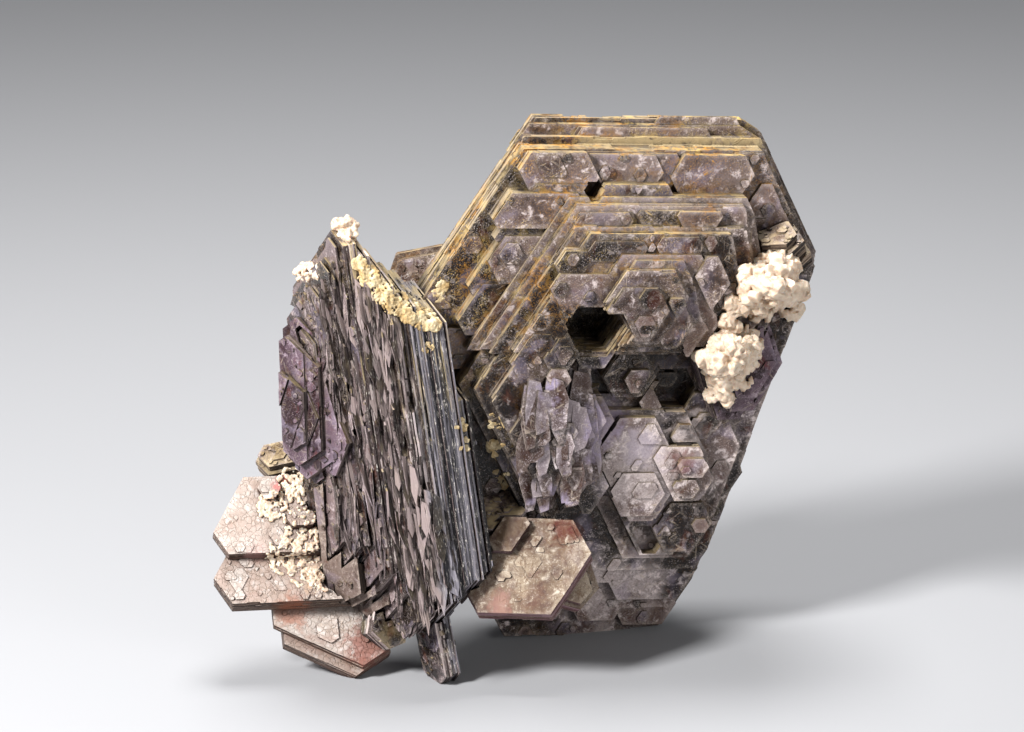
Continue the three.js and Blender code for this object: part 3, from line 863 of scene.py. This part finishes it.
    def iron_stain(self, highlight_rims, deep, upper):
        """Where iron has stained the book: in corners, on ledges, along rims and lines, and as dust."""
        look = self.look
        hollows = self.times(deep, self.blend(self.basal, 0.35, 0.9))
        stain = self.plus(hollows, self.times(upper, look["ledge_stain"]))
        stain = self.plus(stain, self.plus(self.times(highlight_rims, 0.5), self.times(self.lines, 0.5)))
        patches = self.ramp(self.noise(self.place, 0.9, 7, 0.75, 0.6), 0.43, 0.57)
        dust = self.ramp(self.noise(self.place, 4.5, 4, 0.8), 0.55, 0.63)
        stain = self.ramp(self.times(stain, patches), 0.13, 0.36)
        stain = self.maths("MAXIMUM", stain, self.times(dust, 0.8))
        zone = self.ramp(self.dot(self.place, look["stain_from"]), *look["stain_reach"], 0.15, 1.0)
        zone = self.times(zone, self.ramp(self.noise(self.place, 0.16, 3, 0.6), 0.42, 0.58, 0.25, 1.0))
        return self.times(stain, zone, self.blend(self.basal, self.ramp(self.up, 0.3, 0.95, 0.3, 1.0), 1.0))

    def clay_cover(self, upper):
        """Where clay lies: on ledges, and in level bands (height, half width, left and right end)."""
        patches = self.ramp(self.noise(self.place, 0.35, 5, 0.7), 0.4, 0.6)
        clay = self.times(upper, patches, self.look["clay"])
        sideways = self.dot(self.place, (1, 0, 0))
        for height, half, left, right in self.look["bands"]:
            rise = self.maths("ABSOLUTE", self.maths("SUBTRACT", self.dot(self.place, tuple(UP)), height))
            rise = self.line(self.grain, 0.8 * half, rise)
            band = self.times(self.ramp(rise, 1.5 * half, 1.1 * half), self.ramp(sideways, left, left + 3))
            band = self.times(band, self.ramp(sideways, right + 2, right), self.ramp(self.mottle, 0.3, 0.5))
            clay = self.maths("MAXIMUM", clay, self.times(band, self.front))
        return clay

    def roughness(self, stain, clay):
        rough = self.ramp(self.mottle, 0.3, 0.75, *self.look["rough"])
        rough = self.blend(self.basal, self.look["edge_rough"], rough)
        return self.blend(self.maths("MAXIMUM", clay, self.times(stain, 0.7)), rough, 0.8)

    def relief(self):
        """Waves, lines, grain and cracks on the faces, and ridges along the page edges."""
        waves = self.noise(self.crystal, 0.35, 3, 0.5, 0.6)
        relief = self.plus(self.times(waves, 1.6), self.times(self.lines, 0.35), self.times(self.grain, 0.2))
        if self.cracks:
            relief = self.maths("SUBTRACT", relief, self.cracks)
        shape = self.blend(self.basal, self.times(self.streak, 0.8), relief)
        return self.bump(shape, self.look["bump"], 0.25, self.tilted(self.tone, self.look["glint"]))


MICA = dict(
    dark=(0.007, 0.0045, 0.0045),
    mid=(0.145, 0.1, 0.088),
    light=(0.76, 0.65, 0.63),
    tones=(0.46, 0.72),
    mottle=0.85,
    plate_contrast=0.55,
    page_contrast=0.4,
    crackle=0.0,
    scratches=0.0,
    crack_colour=(0.42, 0.28, 0.17),
    lilac=(0.3, 0.25, 0.33),
    lilac_share=0.38,
    flush=(0.075, 0.02, 0.01),
    flush_share=0.65,
    lines=0.45,
    line_scale=2.0,
    line_colour=(0.45, 0.37, 0.3),
    specks=0.5,
    speck_colour=(0.6, 0.52, 0.42),
    edge_dark=(0.014, 0.009, 0.008),
    edge_light=(0.27, 0.22, 0.18),
    flecks=0.5,
    fleck_colour=(0.5, 0.4, 0.3),
    ochre=0.0,
    highlight_rims=0.75,
    rim_highlight_colour=(0.62, 0.52, 0.42),
    stain=0.95,
    ledge_stain=0.72,
    stain_colour=(0.54, 0.25, 0.035),
    gold_colour=(0.6, 0.42, 0.14),
    stain_from=(-0.45, 0, 0.9),
    stain_reach=(32, 62),
    clay=0.5,
    clay_colour=(0.52, 0.4, 0.22),
    shade=(0.008, 0.005, 0.005),
    edge_rough=0.5,
    rough=(0.12, 0.34),
    gloss=0.18,
    bump=0.7,
    glint=0.3,
    bands=[(AIM_RISE + 33.4, 0.75, 8.0, 36.0)],
    pale=[
        ((18.5, 30.0), 11.0, 0.75),
        ((29.0, 30.0), 8.0, 0.3),
        ((8.0, 37.0), 6.0, 0.35),
        ((35.5, 38.0), 6.0, 0.3),
        ((34.0, 74.0), 7.0, 0.3),
        ((22.5, 45.0), 6.5, -0.9),
        ((10.7, 54.0), 6.5, -0.9),
        ((14.0, 9.0), 12.0, 0.7),
        ((16.0, 72.0), 13.0, 0.3),
    ],
    spots=[
        ((12.5, 38.0), 5.0, (0.4, 0.33, 0.44), 0.6),
        ((19.0, 34.0), 4.0, (0.42, 0.36, 0.44), 0.5),
        ((25.0, 31.0), 2.6, (0.16, 0.03, 0.02), 0.5),
        ((22.5, 45.5), 5.5, (0.01, 0.006, 0.006), 0.6),
        ((10.7, 54.0), 6.0, (0.006, 0.004, 0.004), 0.8),
    ],
)
PLAIN = dict(MICA, bands=[], pale=[], spots=[])
DARK = dict(
    PLAIN,
    mid=(0.18, 0.13, 0.13),
    light=(0.56, 0.46, 0.46),
    lilac_share=0.3,
    edge_dark=(0.006, 0.006, 0.01),
    edge_light=(0.3, 0.28, 0.32),
    page_contrast=0.35,
    warm_from=0.42,
    warm_dark=(0.05, 0.033, 0.033),
    warm_light=(0.66, 0.54, 0.52),
    flecks=0.9,
    fleck_colour=(0.8, 0.74, 0.66),
    ochre=0.85,
    highlight_rims=0.25,
    stain=0.4,
    stain_reach=(52, 80),
    clay=0.75,
    edge_rough=0.35,
)
LEAF = dict(
    DARK,
    warm_from=0.2,
    warm_dark=(0.012, 0.007, 0.008),
    warm_light=(0.4, 0.31, 0.3),
    page_contrast=0.5,
    ochre=0.1,
    flecks=0.3,
    highlight_rims=0.12,
)
VIOLET = dict(
    PLAIN,
    dark=(0.02, 0.008, 0.011),
    mid=(0.12, 0.078, 0.1),
    light=(0.38, 0.3, 0.34),
    flush=(0.1, 0.018, 0.016),
    flush_share=0.75,
    edge_light=(0.22, 0.17, 0.16),
    stain=0.15,
    highlight_rims=0.3,
    rim_highlight_colour=(0.34, 0.28, 0.3),
    clay=0.25,
)
BROWN = dict(
    PLAIN,
    dark=(0.04, 0.02, 0.015),
    mid=(0.16, 0.115, 0.1),
    light=(0.46, 0.38, 0.34),
    lilac_share=0.35,
    edge_light=(0.3, 0.22, 0.16),
    stain=0.4,
)
SHINGLE = dict(
    BROWN,
    mid=(0.24, 0.195, 0.21),
    light=(0.72, 0.63, 0.66),
    lilac=(0.36, 0.3, 0.42),
    lilac_share=0.85,
    flush_share=0.3,
    edge_light=(0.4, 0.32, 0.28),
    highlight_rims=0.5,
)
CREAM = dict(
    PLAIN,
    spots=[
        ((-0.5, 23.4), 4.0, (0.05, 0.025, 0.02), 0.85),
        ((7.5, 23.8), 3.4, (0.08, 0.012, 0.01), 0.9),
        ((-2.4, 13.8), 2.2, (0.3, 0.15, 0.13), 0.6),
    ],
    dark=(0.1, 0.06, 0.05),
    mid=(0.35, 0.28, 0.21),
    light=(0.66, 0.585, 0.49),
    lilac=(0.42, 0.34, 0.3),
    flush=(0.2, 0.09, 0.06),
    flush_share=0.2,
    lines=0.9,
    line_scale=3.0,
    line_colour=(0.15, 0.09, 0.06),
    scratches=0.85,
    tones=(0.42, 0.66),
    plate_contrast=0.2,
    edge_dark=(0.1, 0.04, 0.045),
    edge_light=(0.3, 0.2, 0.22),
    stain=0.12,
    clay=0.1,
    rough=(0.35, 0.55),
    gloss=0.08,
)
PEARL = dict(
    PLAIN,
    spots=[
        ((-35.2, 28.5), 1.9, (0.42, 0.13, 0.12), 0.8),
        ((-39.0, 19.0), 2.0, (0.5, 0.27, 0.26), 0.3),
        ((-33.5, 10.6), 3.6, (0.3, 0.1, 0.05), 0.6),
        ((-22.5, 5.0), 4.6, (0.22, 0.07, 0.05), 0.75),
        ((-30.5, 15.5), 2.2, (0.6, 0.4, 0.25), 0.6),
    ],
    dark=(0.34, 0.26, 0.22),
    mid=(0.46, 0.41, 0.37),
    light=(0.66, 0.61, 0.585),
    tones=(0.42, 0.66),
    mottle=0.8,
    crackle=0.25,
    lilac=(0.56, 0.42, 0.38),
    lilac_share=0.2,
    flush=(0.34, 0.14, 0.1),
    flush_share=0.18,
    lines=0.1,
    plate_contrast=0.15,
    specks=0.3,
    edge_dark=(0.02, 0.01, 0.008),
    edge_light=(0.12, 0.075, 0.055),
    highlight_rims=0.25,
    rim_highlight_colour=(0.6, 0.5, 0.4),
    stain=0.5,
    ledge_stain=0.1,
    clay=0.0,
    shade=(0.06, 0.02, 0.012),
    rough=(0.25, 0.45),
)


def albite(name):
    """Albite: creamy white, a little translucent, with a darker brown in its hollows."""
    paint = Paint(name)
    cloud = paint.noise(paint.place, 0.5, 4, 0.6)
    grain = paint.noise(paint.place, 3.0, 4, 0.7)
    colour = paint.mix(paint.ramp(cloud, 0.35, 0.7), (0.54, 0.41, 0.3), (0.67, 0.56, 0.44))
    colour = paint.mix(paint.times(paint.ramp(grain, 0.5, 0.75), 0.5), colour, (0.77, 0.68, 0.57))
    colour = paint.mix(paint.ramp(paint.crevices(1.4), 0.4, 1.0, 0.0, 0.6), colour, (0.38, 0.22, 0.11))
    paint.surface(colour, paint.ramp(grain, 0.3, 0.7, 0.35, 0.6), paint.bump(grain, 0.35, 0.12))
    depth = {"Subsurface Weight": 0.6, "Subsurface Radius": (1.0, 0.7, 0.5), "Subsurface Scale": 0.8 * MM}
    paint.fill(paint.shader, IOR=1.53, **depth)
    return paint.material


def clay(name):
    """Dried clay: cream to ochre, dull and crumbly."""
    paint = Paint(name)
    cloud = paint.noise(paint.place, 0.6, 4, 0.6)
    grain = paint.noise(paint.place, 4.0, 5, 0.75)
    colour = paint.mix(paint.ramp(cloud, 0.35, 0.65), (0.5, 0.33, 0.13), (0.78, 0.66, 0.42))
    colour = paint.mix(paint.ramp(grain, 0.6, 0.4, 0.0, 0.5), colour, (0.3, 0.2, 0.1))
    paint.surface(colour, paint.ramp(grain, 0.3, 0.7, 0.95, 0.7), paint.bump(grain, 0.6, 0.2))
    return paint.material


# ---- Albite blades ----

def blade(rng, centre, out, size):
    """The corner points and faces of one tabular blade that points outwards, with a chisel end."""
    length, width = size * rng.uniform(0.7, 1.1), size * rng.uniform(0.5, 0.85)
    thick = size * rng.uniform(0.3, 0.58)
    roll = Matrix.Rotation(rng.uniform(0, math.pi), 3, "Z")
    turn = out.to_track_quat("Z", "Y").to_matrix() @ roll
    points = []
    for z, share in ((-0.5, 0.8), (0.25, 1.0), (0.5, 0.55)):
        for x, y in ((-1, -1), (1, -1), (1, 1), (-1, 1)):
            corner_point = Vector((x * width * share / 2, y * thick * (0.6 + 0.4 * share) / 2, z * length))
            points.append(centre + turn @ corner_point)
    faces = [(3, 2, 1, 0), (8, 9, 10, 11)]
    for ring in (0, 4):
        for k in range(4):
            n = (k + 1) % 4
            faces.append((ring + k, ring + n, ring + n + 4, ring + k + 4))
    return points, faces


def inside(tree, point):
    """True where a ray from the point leaves the closed mesh an odd number of times."""
    crossings = 0
    origin = point
    direction = Vector((0.31, 0.17, 0.93)).normalized()
    for _ in range(60):
        hit, _, _, _ = tree.ray_cast(origin, direction)
        if hit is None:
            break
        crossings += 1
        origin = hit + direction * 1e-4
    return crossings % 2 == 1


def cad_tree(*nodes):
    """A ray-casting tree over some CAD nodes, in millimetres."""
    vertices, faces = [], []
    for node in nodes:
        points, triangles = cad_triangles(node)
        faces += (triangles + len(vertices)).tolist()
        vertices += [Vector(p) for p in points]
    return BVHTree.FromPolygons(vertices, faces)


def seen(tree, x, y):
    """The point and normal that the camera sees x right of and y above the middle of its picture."""
    eye = (AIM + BACK * CAMERA_DISTANCE) / MM
    across = AIM / MM + Vector((x, 0, 0)) + UP * y
    hit, normal, _, _ = tree.ray_cast(eye, (across - eye).normalized())
    return hit, normal


def tuft(name, node, seed, count, size, seats):
    """A tuft of albite blades that fills its CAD solid, and more at each seat (x, y, spread, count)."""
    rng = random.Random(seed)
    points, triangles = cad_triangles(node)
    tree = BVHTree.FromPolygons([Vector(p) for p in points], triangles.tolist())
    low, high = points.min(0), points.max(0)
    base = Vector(points.mean(0))
    pile = Pile()
    pile.add([Vector(p) for p in points], [tuple(t) for t in triangles.tolist()])
    placed = 0
    while placed < count:
        point = Vector([rng.uniform(a, b) for a, b in zip(low, high)])
        if not inside(tree, point):
            continue
        out = (point - base).normalized() + BACK * 0.4 + Vector([rng.uniform(-0.6, 0.6) for _ in range(3)])
        pile.add(*blade(rng, point, out.normalized(), size))
        placed += 1
    for x, y, spread, more in seats:
        for _ in range(more):
            turn, reach = rng.uniform(0, 2 * math.pi), spread * math.sqrt(rng.random())
            hit, normal = seen(WHOLE, x + reach * math.cos(turn), y + reach * math.sin(turn))
            if hit:
                out = normal + BACK * 0.5 + Vector([rng.uniform(-0.8, 0.8) for _ in range(3)])
                rise = 0.5 * spread * (1 - (reach / spread) ** 2) * rng.random()
                pile.add(*blade(rng, hit + BACK * rise, out.normalized(), size * rng.uniform(0.6, 0.9)))
    return remeshed(name, pile, ALBITE_VOXEL)


def remeshed(name, pile, voxel):
    """One closed skin over overlapping shapes, kept inside the CAD box."""
    piece = pile.mesh_object(name)
    remesh = piece.modifiers.new("skin", "REMESH")
    remesh.mode = "VOXEL"
    remesh.voxel_size = voxel
    smooth = piece.modifiers.new("soften", "SMOOTH")
    smooth.iterations = 2
    smooth.factor = 0.5
    graph = bpy.context.evaluated_depsgraph_get()
    made = bpy.data.meshes.new_from_object(piece.evaluated_get(graph))
    piece.modifiers.clear()
    piece.data = made
    low, high = ([c / MM for c in corner_point] for corner_point in (cad_low, cad_high))
    for vertex in made.vertices:
        vertex.co = Vector([min(max(c, a), b) for c, a, b in zip(vertex.co, low, high)])
    made.transform(Matrix.Scale(MM, 4))
    made.shade_smooth()
    return piece


# ---- Building the cluster ----

LOOKS = {
    "grey_mica": Mica("grey_mica_look", MICA).material,
    "dark_mica": Mica("dark_mica_look", DARK).material,
    "violet_mica": Mica("violet_mica_look", VIOLET).material,
    "brown_mica": Mica("brown_mica_look", BROWN).material,
    "cream_mica": Mica("cream_mica_look", CREAM).material,
    "pearl_mica": Mica("pearl_mica_look", PEARL).material,
    "leaf_mica": Mica("leaf_look", LEAF).material,
    "shingle_mica": Mica("shingle_look", SHINGLE).material,
    "albite": albite("albite_look"),
    "clay": clay("clay_look"),
}
# node, slot, random seed, page thickness, edge wear, and growth steps: how many, smallest and largest reach
BOOKS = [
    ("main_mica_book", "grey_mica", 3, (0.18, 0.55), 0.34, (460, 0.8, 6.0)),
    ("upright_mica_book", "dark_mica", 5, (0.2, 0.36), 0.4, (300, 0.3, 2.5)),
    ("left_flank_book", "violet_mica", 7, (0.2, 0.4), 0.14, (120, 0.3, 2.0)),
    ("lower_flank_book", "brown_mica", 8, (0.2, 0.4), 0.14, (60, 0.3, 1.5)),
    ("pearly_upper_book", "pearl_mica", 9, (0.22, 0.4), 0.14, (60, 0.4, 2.2)),
    ("pearly_lower_book", "pearl_mica", 10, (0.22, 0.4), 0.12, (30, 0.4, 2.2)),
    ("front_cream_book", "cream_mica", 11, (0.2, 0.36), 0.1, (14, 0.5, 2.6)),
    ("small_front_book", "brown_mica", 12, (0.2, 0.3), 0.1, (10, 0.3, 1.0)),
    ("ledge_book", "dark_mica", 13, (0.2, 0.4), 0.2, (40, 0.3, 1.2)),
    ("foot_book", "dark_mica", 14, (0.2, 0.4), 0.2, (20, 0.3, 1.2)),
    ("foot_crystal", "dark_mica", 15, (0.2, 0.4), 0.16, (12, 0.3, 1.0)),
    ("back_mica_book", "brown_mica", 16, (0.25, 0.45), 0.16, (60, 0.4, 2.5)),
    ("side_mica_book", "brown_mica", 17, (0.22, 0.4), 0.14, (60, 0.3, 1.6)),
    ("right_knob_book", "brown_mica", 18, (0.2, 0.36), 0.14, (60, 0.3, 1.4)),
    ("right_rear_book", "violet_mica", 19, (0.25, 0.45), 0.16, (80, 0.3, 2.0)),
]
LOOK_OF = {"small_front_book": "cream_mica"}
BORROW = {"upright_mica_book": 0.5, "foot_book": 0.5}
WEAR = {
    "upright_mica_book": Wear(
        0.7, (1.6, 6.0), 5.0, level=(0.44, -0.9, 0), level_depth=0.03, level_share=0.42, leafy=1.3
    ),
    "foot_book": Wear(0.6, (0.8, 3.0), 2.0),
}
# node, random seed, how many blades, their size, and seats for more of them
TUFTS = [
    ("albite_upper_tuft", 31, 150, 3.0, [
        (39.5, 13.5, 3.6, 70), (36.8, 10.0, 3.2, 50), (41.6, 10.0, 2.6, 30),
    ]),
    ("albite_lower_tuft", 32, 130, 2.8, [
        (33.2, 9.0, 1.2, 20), (32.4, 6.4, 1.2, 20), (31.6, 3.4, 1.8, 30), (33.0, 0.5, 3.9, 100),
        (31.2, -3.4, 2.2, 40), (35.2, 3.6, 2.2, 30),
    ]),
    ("albite_crown_tuft", 33, 60, 1.5, [(-24.5, 20.5, 1.8, 50)]),
    ("albite_left_tuft", 34, 50, 1.5, [(-30.3, 14.0, 1.8, 40)]),
    ("albite_pearl_tuft", 35, 60, 1.5, []),
]

# Thicker plates on some books: how many, reach, thickness, and patches (x, y, radius) as the camera sees them
THICK_STEPS = {
    "main_mica_book": (90, (2.2, 5.5), (0.4, 1.2), [
        (8.0, -9.0, 5.0), (11.0, -14.0, 4.0), (21.0, 0.0, 4.5), (24.0, 9.0, 4.0), (8.0, 3.0, 3.0),
        (2.0, 7.0, 4.0), (28.0, -12.0, 4.0), (-2.0, 13.0, 3.5),
    ]),
    "left_flank_book": (30, (0.8, 2.4), (0.15, 0.35), [(-31.0, 3.0, 4.0), (-29.0, -4.0, 3.5)]),
}
# Long leaves: name, the book that they hang on, slot, look, random seed, how many, their lengths, widths and
# thicknesses, how far they lean, how blunt their ends are, and patches (x, y, radius) as the camera sees them
LEAVES = [
    ("upright_leaves", "upright_mica_book", "dark_mica", "leaf_mica", 51, 580,
     (2.5, 9.0), (0.4, 1.6), (0.12, 0.3), 0.35, 0.08, [
        (-22.5, 8.0, 2.5), (-20.0, 4.0, 3.0), (-20.5, -3.6, 3.5), (-19.0, -11.0, 3.8), (-18.3, -18.6, 4.5),
        (-16.8, -26.0, 4.5), (-14.5, -33.0, 4.0), (-12.3, -24.0, 3.0), (-10.8, -30.6, 3.0),
        (-26.5, 8.0, 2.0), (-26.5, 1.0, 2.2), (-25.5, -7.0, 2.5), (-24.5, -15.0, 2.5), (-24.0, -23.0, 2.5),
    ]),
    ("main_leaves", "main_mica_book", "grey_mica", "shingle_mica", 52, 46,
     (5.0, 10.0), (2.2, 4.2), (0.25, 0.6), 0.28, 0.5, [
        (5.5, -5.0, 3.5), (5.0, -11.0, 3.5), (8.5, -9.0, 3.5), (9.0, -15.0, 3.5), (12.0, -5.0, 3.0),
        (11.5, -11.0, 2.5), (4.5, -17.0, 2.0),
    ]),
]
# Loose flakes and crusts: name, slot, look, the nodes they sit on, random seed, how many, size range, tilt,
# and patches (x, y, radius) as the camera sees them
PEARLY = ("pearly_upper_book", "pearly_lower_book", "side_mica_book", "albite_pearl_tuft")
CRUSTS = [
    ("pearl_crust", "albite", "albite", PEARLY, 41, 1100, (0.15, 0.5), 0.7, [
        (-30.0, -18.2, 3.8), (-33.0, -17.5, 2.4), (-27.5, -19.5, 3.0), (-26.0, -24.0, 3.0),
        (-29.0, -28.0, 4.0), (-31.0, -24.0, 3.4), (-30.0, -31.0, 3.6), (-34.0, -28.5, 3.0),
        (-36.0, -21.0, 2.2),
    ]),
    ("gap_flakes", "cream_mica", "clay", ("main_mica_book", "ledge_book", "upright_mica_book"), 42, 46,
     (0.3, 0.9), 0.5, [(-2.6, -8.5, 1.2), (-2.4, -12.5, 1.2), (-1.6, -17.0, 1.4)]),
    ("edge_flakes", "cream_mica", "clay", ("upright_mica_book",), 43, 18, (0.25, 0.7), 0.5, [
        (-7.6, -9.0, 0.9), (-7.2, -11.8, 0.9), (-12.5, 2.6, 0.7),
    ]),
    ("ledge_clay", "cream_mica", "clay", ("main_mica_book",), 45, 160, (0.12, 0.4), 0.7, [
        (-11.2, 10.6, 1.0), (-10.4, 12.0, 0.8),
    ]),
    ("crown_clay", "cream_mica", "clay", ("upright_mica_book",), 44, 1500, (0.1, 0.4), 1.0, [
        (-23.0, 15.4, 1.0), (-21.4, 13.4, 1.6), (-19.6, 11.4, 2.0), (-17.6, 9.6, 2.0), (-15.4, 8.2, 1.9),
        (-13.2, 7.0, 1.7), (-11.6, 6.2, 1.0),
    ]),
]
SKINNED = ("pearl_crust", "crown_clay", "ledge_clay")  # the crusts whose grains are joined under one skin

WHOLE = cad_tree(*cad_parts)


def dressed(piece, slot, look):
    """Gives a finished piece its look and its body; its slot is not used."""
    piece.data.materials.clear()
    piece.data.materials.append(LOOKS[look])
    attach(piece, "root")


def thick_steps(book, node, axes, seed):
    if node not in THICK_STEPS:
        return book
    count, reach, thickness, patches = THICK_STEPS[node]
    tree = cad_tree(node)
    local = []
    for x, y, radius in patches:
        hit, _ = seen(tree, x, y)
        if hit:
            u, v, _ = axes @ np.array(hit)
            local.append((u, v, radius))
    return add_steps(book, seed, count, reach, thickness, batches=6, patches=local)


def build_books():
    for node, slot, seed, page, wear, (count, smallest, largest) in BOOKS:
        wear = WEAR.get(node, Wear(wear))
        book, axes = paged_book(node + "_pages", node, seed, page, wear, BORROW.get(node, 0.0))
        book = thick_steps(book, node, axes, seed + 300)
        book = add_steps(book, seed + 100, count, (smallest, largest))
        book = add_steps(book, seed + 200, count // 2, (smallest, largest), facing=-1, batches=2)
        mark(book, seed)
        dressed(to_world(book, axes), slot, LOOK_OF.get(node, slot))
        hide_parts(node)


def build_tufts():
    for node, seed, count, size, seats in TUFTS:
        piece = tuft(node + "_blades", node, seed, count, size, seats)
        dressed(piece, "albite", "albite")
        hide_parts(node)


def prism(outline, thick, centre, along, across, out):
    """The corner points and faces of a flat prism over an outline that runs anticlockwise seen from out."""
    count = len(outline)
    points = [centre + along * x + across * y + out * z for z in (-thick / 2, thick / 2) for x, y in outline]
    faces = [tuple(reversed(range(count))), tuple(range(count, 2 * count))]
    faces += [(k, (k + 1) % count, (k + 1) % count + count, k + count) for k in range(count)]
    return points, faces


def hexagon_flake(rng, centre, out, size, thickness):
    """One six-sided flake or grain that faces out, its thickness a share of its size."""
    turn = out.to_track_quat("Z", "Y").to_matrix() @ Matrix.Rotation(rng.uniform(0, math.pi), 3, "Z")
    return prism(six_sided(rng, 0, 0, size), size * rng.uniform(*thickness), centre, *turn.col)


def scattered(rng, nodes, count, patches):
    """Random points on the nodes, with their normals, where the camera sees them in the patches."""
    seat = cad_tree(*nodes)
    for _ in range(count):
        target = point_in(rng, rng.choice(patches))
        hit, normal = seen(seat, *target)
        first, _ = seen(WHOLE, *target)
        if hit and (hit - first).length < 0.01:
            yield hit, normal


def build_leaves():
    """Long leaves that hang like shingles down the front of a book, with their narrow ends low."""
    for name, node, slot, look, seed, count, lengths, widths, thicknesses, lean, blunt, patches in LEAVES:
        rng = random.Random(seed)
        axes = crystal_axes(*cad_triangles(node))
        square = Vector(axes[2])
        down = (Vector((0, 0, -1)) + square * square.z).normalized()
        pile = Pile()
        for hit, normal in scattered(rng, (node,), count, patches):
            sideways = down.cross(normal).normalized()
            out = (normal - down * rng.uniform(0.0, 0.12) + sideways * rng.uniform(-lean, lean)).normalized()
            along = (down + sideways * rng.uniform(-0.06, 0.06)).normalized()
            across = out.cross(along).normalized()
            along = across.cross(out)
            outline = leaf_outline(rng, rng.uniform(*lengths), rng.uniform(*widths), blunt)
            centre = hit + out * rng.uniform(-0.1, 0.25)
            points, faces = prism(outline, rng.uniform(*thicknesses), centre, along, across, out)
            pile.add([Vector(axes @ np.array(point)) for point in points], faces)
        piece = pile.mesh_object(name)
        mark(piece, seed)
        dressed(to_world(piece, axes), slot, look)


def leaf_outline(rng, length, width, blunt):
    left, right, tip = rng.uniform(-0.1, 0.3), rng.uniform(-0.1, 0.3), rng.uniform(-0.2, 0.2)
    end = [(0.5, tip - blunt / 2), (0.45, tip + blunt / 2)]
    return [(length * x, width * y) for x, y in [(-0.5, -0.3), (left, -0.5), *end, (right, 0.5), (-0.4, 0.3)]]


def build_crusts():
    for name, slot, look, nodes, seed, count, sizes, tilt, patches in CRUSTS:
        rng = random.Random(seed)
        pile = Pile()
        thickness = (0.6, 1.1) if name in SKINNED else (0.1, 0.25)
        for hit, normal in scattered(rng, nodes, count, patches):
            size = rng.uniform(*sizes)
            out = normal + Vector([rng.uniform(-tilt, tilt) for _ in range(3)])
            pile.add(*hexagon_flake(rng, hit + normal * 0.05, out.normalized(), size, thickness))
        if name in SKINNED:
            piece = remeshed(name, pile, CRUST_VOXEL)
        else:
            piece = pile.mesh_object(name)
            mark(piece, seed)
            piece.data.transform(Matrix.Scale(MM, 4))
        dressed(piece, slot, look)


# ---- Studio ----

def build_floor():
    """A plain pale floor, 4 metres square."""
    mesh = bpy.data.meshes.new("floor")
    mesh.from_pydata([(-2, -2, 0), (2, -2, 0), (2, 2, 0), (-2, 2, 0)], [], [(0, 1, 2, 3)])
    paint = Paint("floor_look")
    paint.surface((0.34, 0.34, 0.35), 0.9)
    mesh.materials.append(paint.material)
    new_object("floor", mesh)


def soft_light(name, place, size, power):
    data = bpy.data.lights.new(name, "AREA")
    data.size = size
    data.energy = power
    lamp = new_object(name, data)
    lamp.location = place
    lamp.rotation_euler = (CENTRE - Vector(place)).to_track_quat("-Z", "Y").to_euler()


# name, place, size and power of each light
LIGHTS = [
    ("key", (-0.36, -0.34, 0.38), 0.12, 8.0),
    ("fill", (0.42, -0.42, 0.2), 0.3, 1.3),
    ("top", (0.0, 0.1, 0.5), 0.2, 2.8),
]


def build_studio():
    build_floor()
    for name, place, size, power in LIGHTS:
        soft_light(name, place, size, power)
    world = bpy.data.worlds.new("studio")
    world.use_nodes = True
    sky = world.node_tree.nodes["Background"]
    sky.inputs["Color"].default_value = (0.9, 0.93, 1.0, 1)
    sky.inputs["Strength"].default_value = 0.13
    bpy.context.scene.world = world
    bpy.context.scene.view_settings.view_transform = "Standard"


def build_camera():
    data = bpy.data.cameras.new("camera")
    data.sensor_width = SENSOR_WIDTH
    data.lens = SENSOR_WIDTH * CAMERA_DISTANCE / FRAME_WIDTH
    data.clip_start = 0.01
    camera = new_object("camera", data)
    camera.location = AIM + BACK * CAMERA_DISTANCE
    camera.rotation_euler = (-BACK).to_track_quat("-Z", "Y").to_euler()
    bpy.context.scene.camera = camera


build_books()
build_tufts()
build_leaves()
build_crusts()
build_studio()
build_camera()
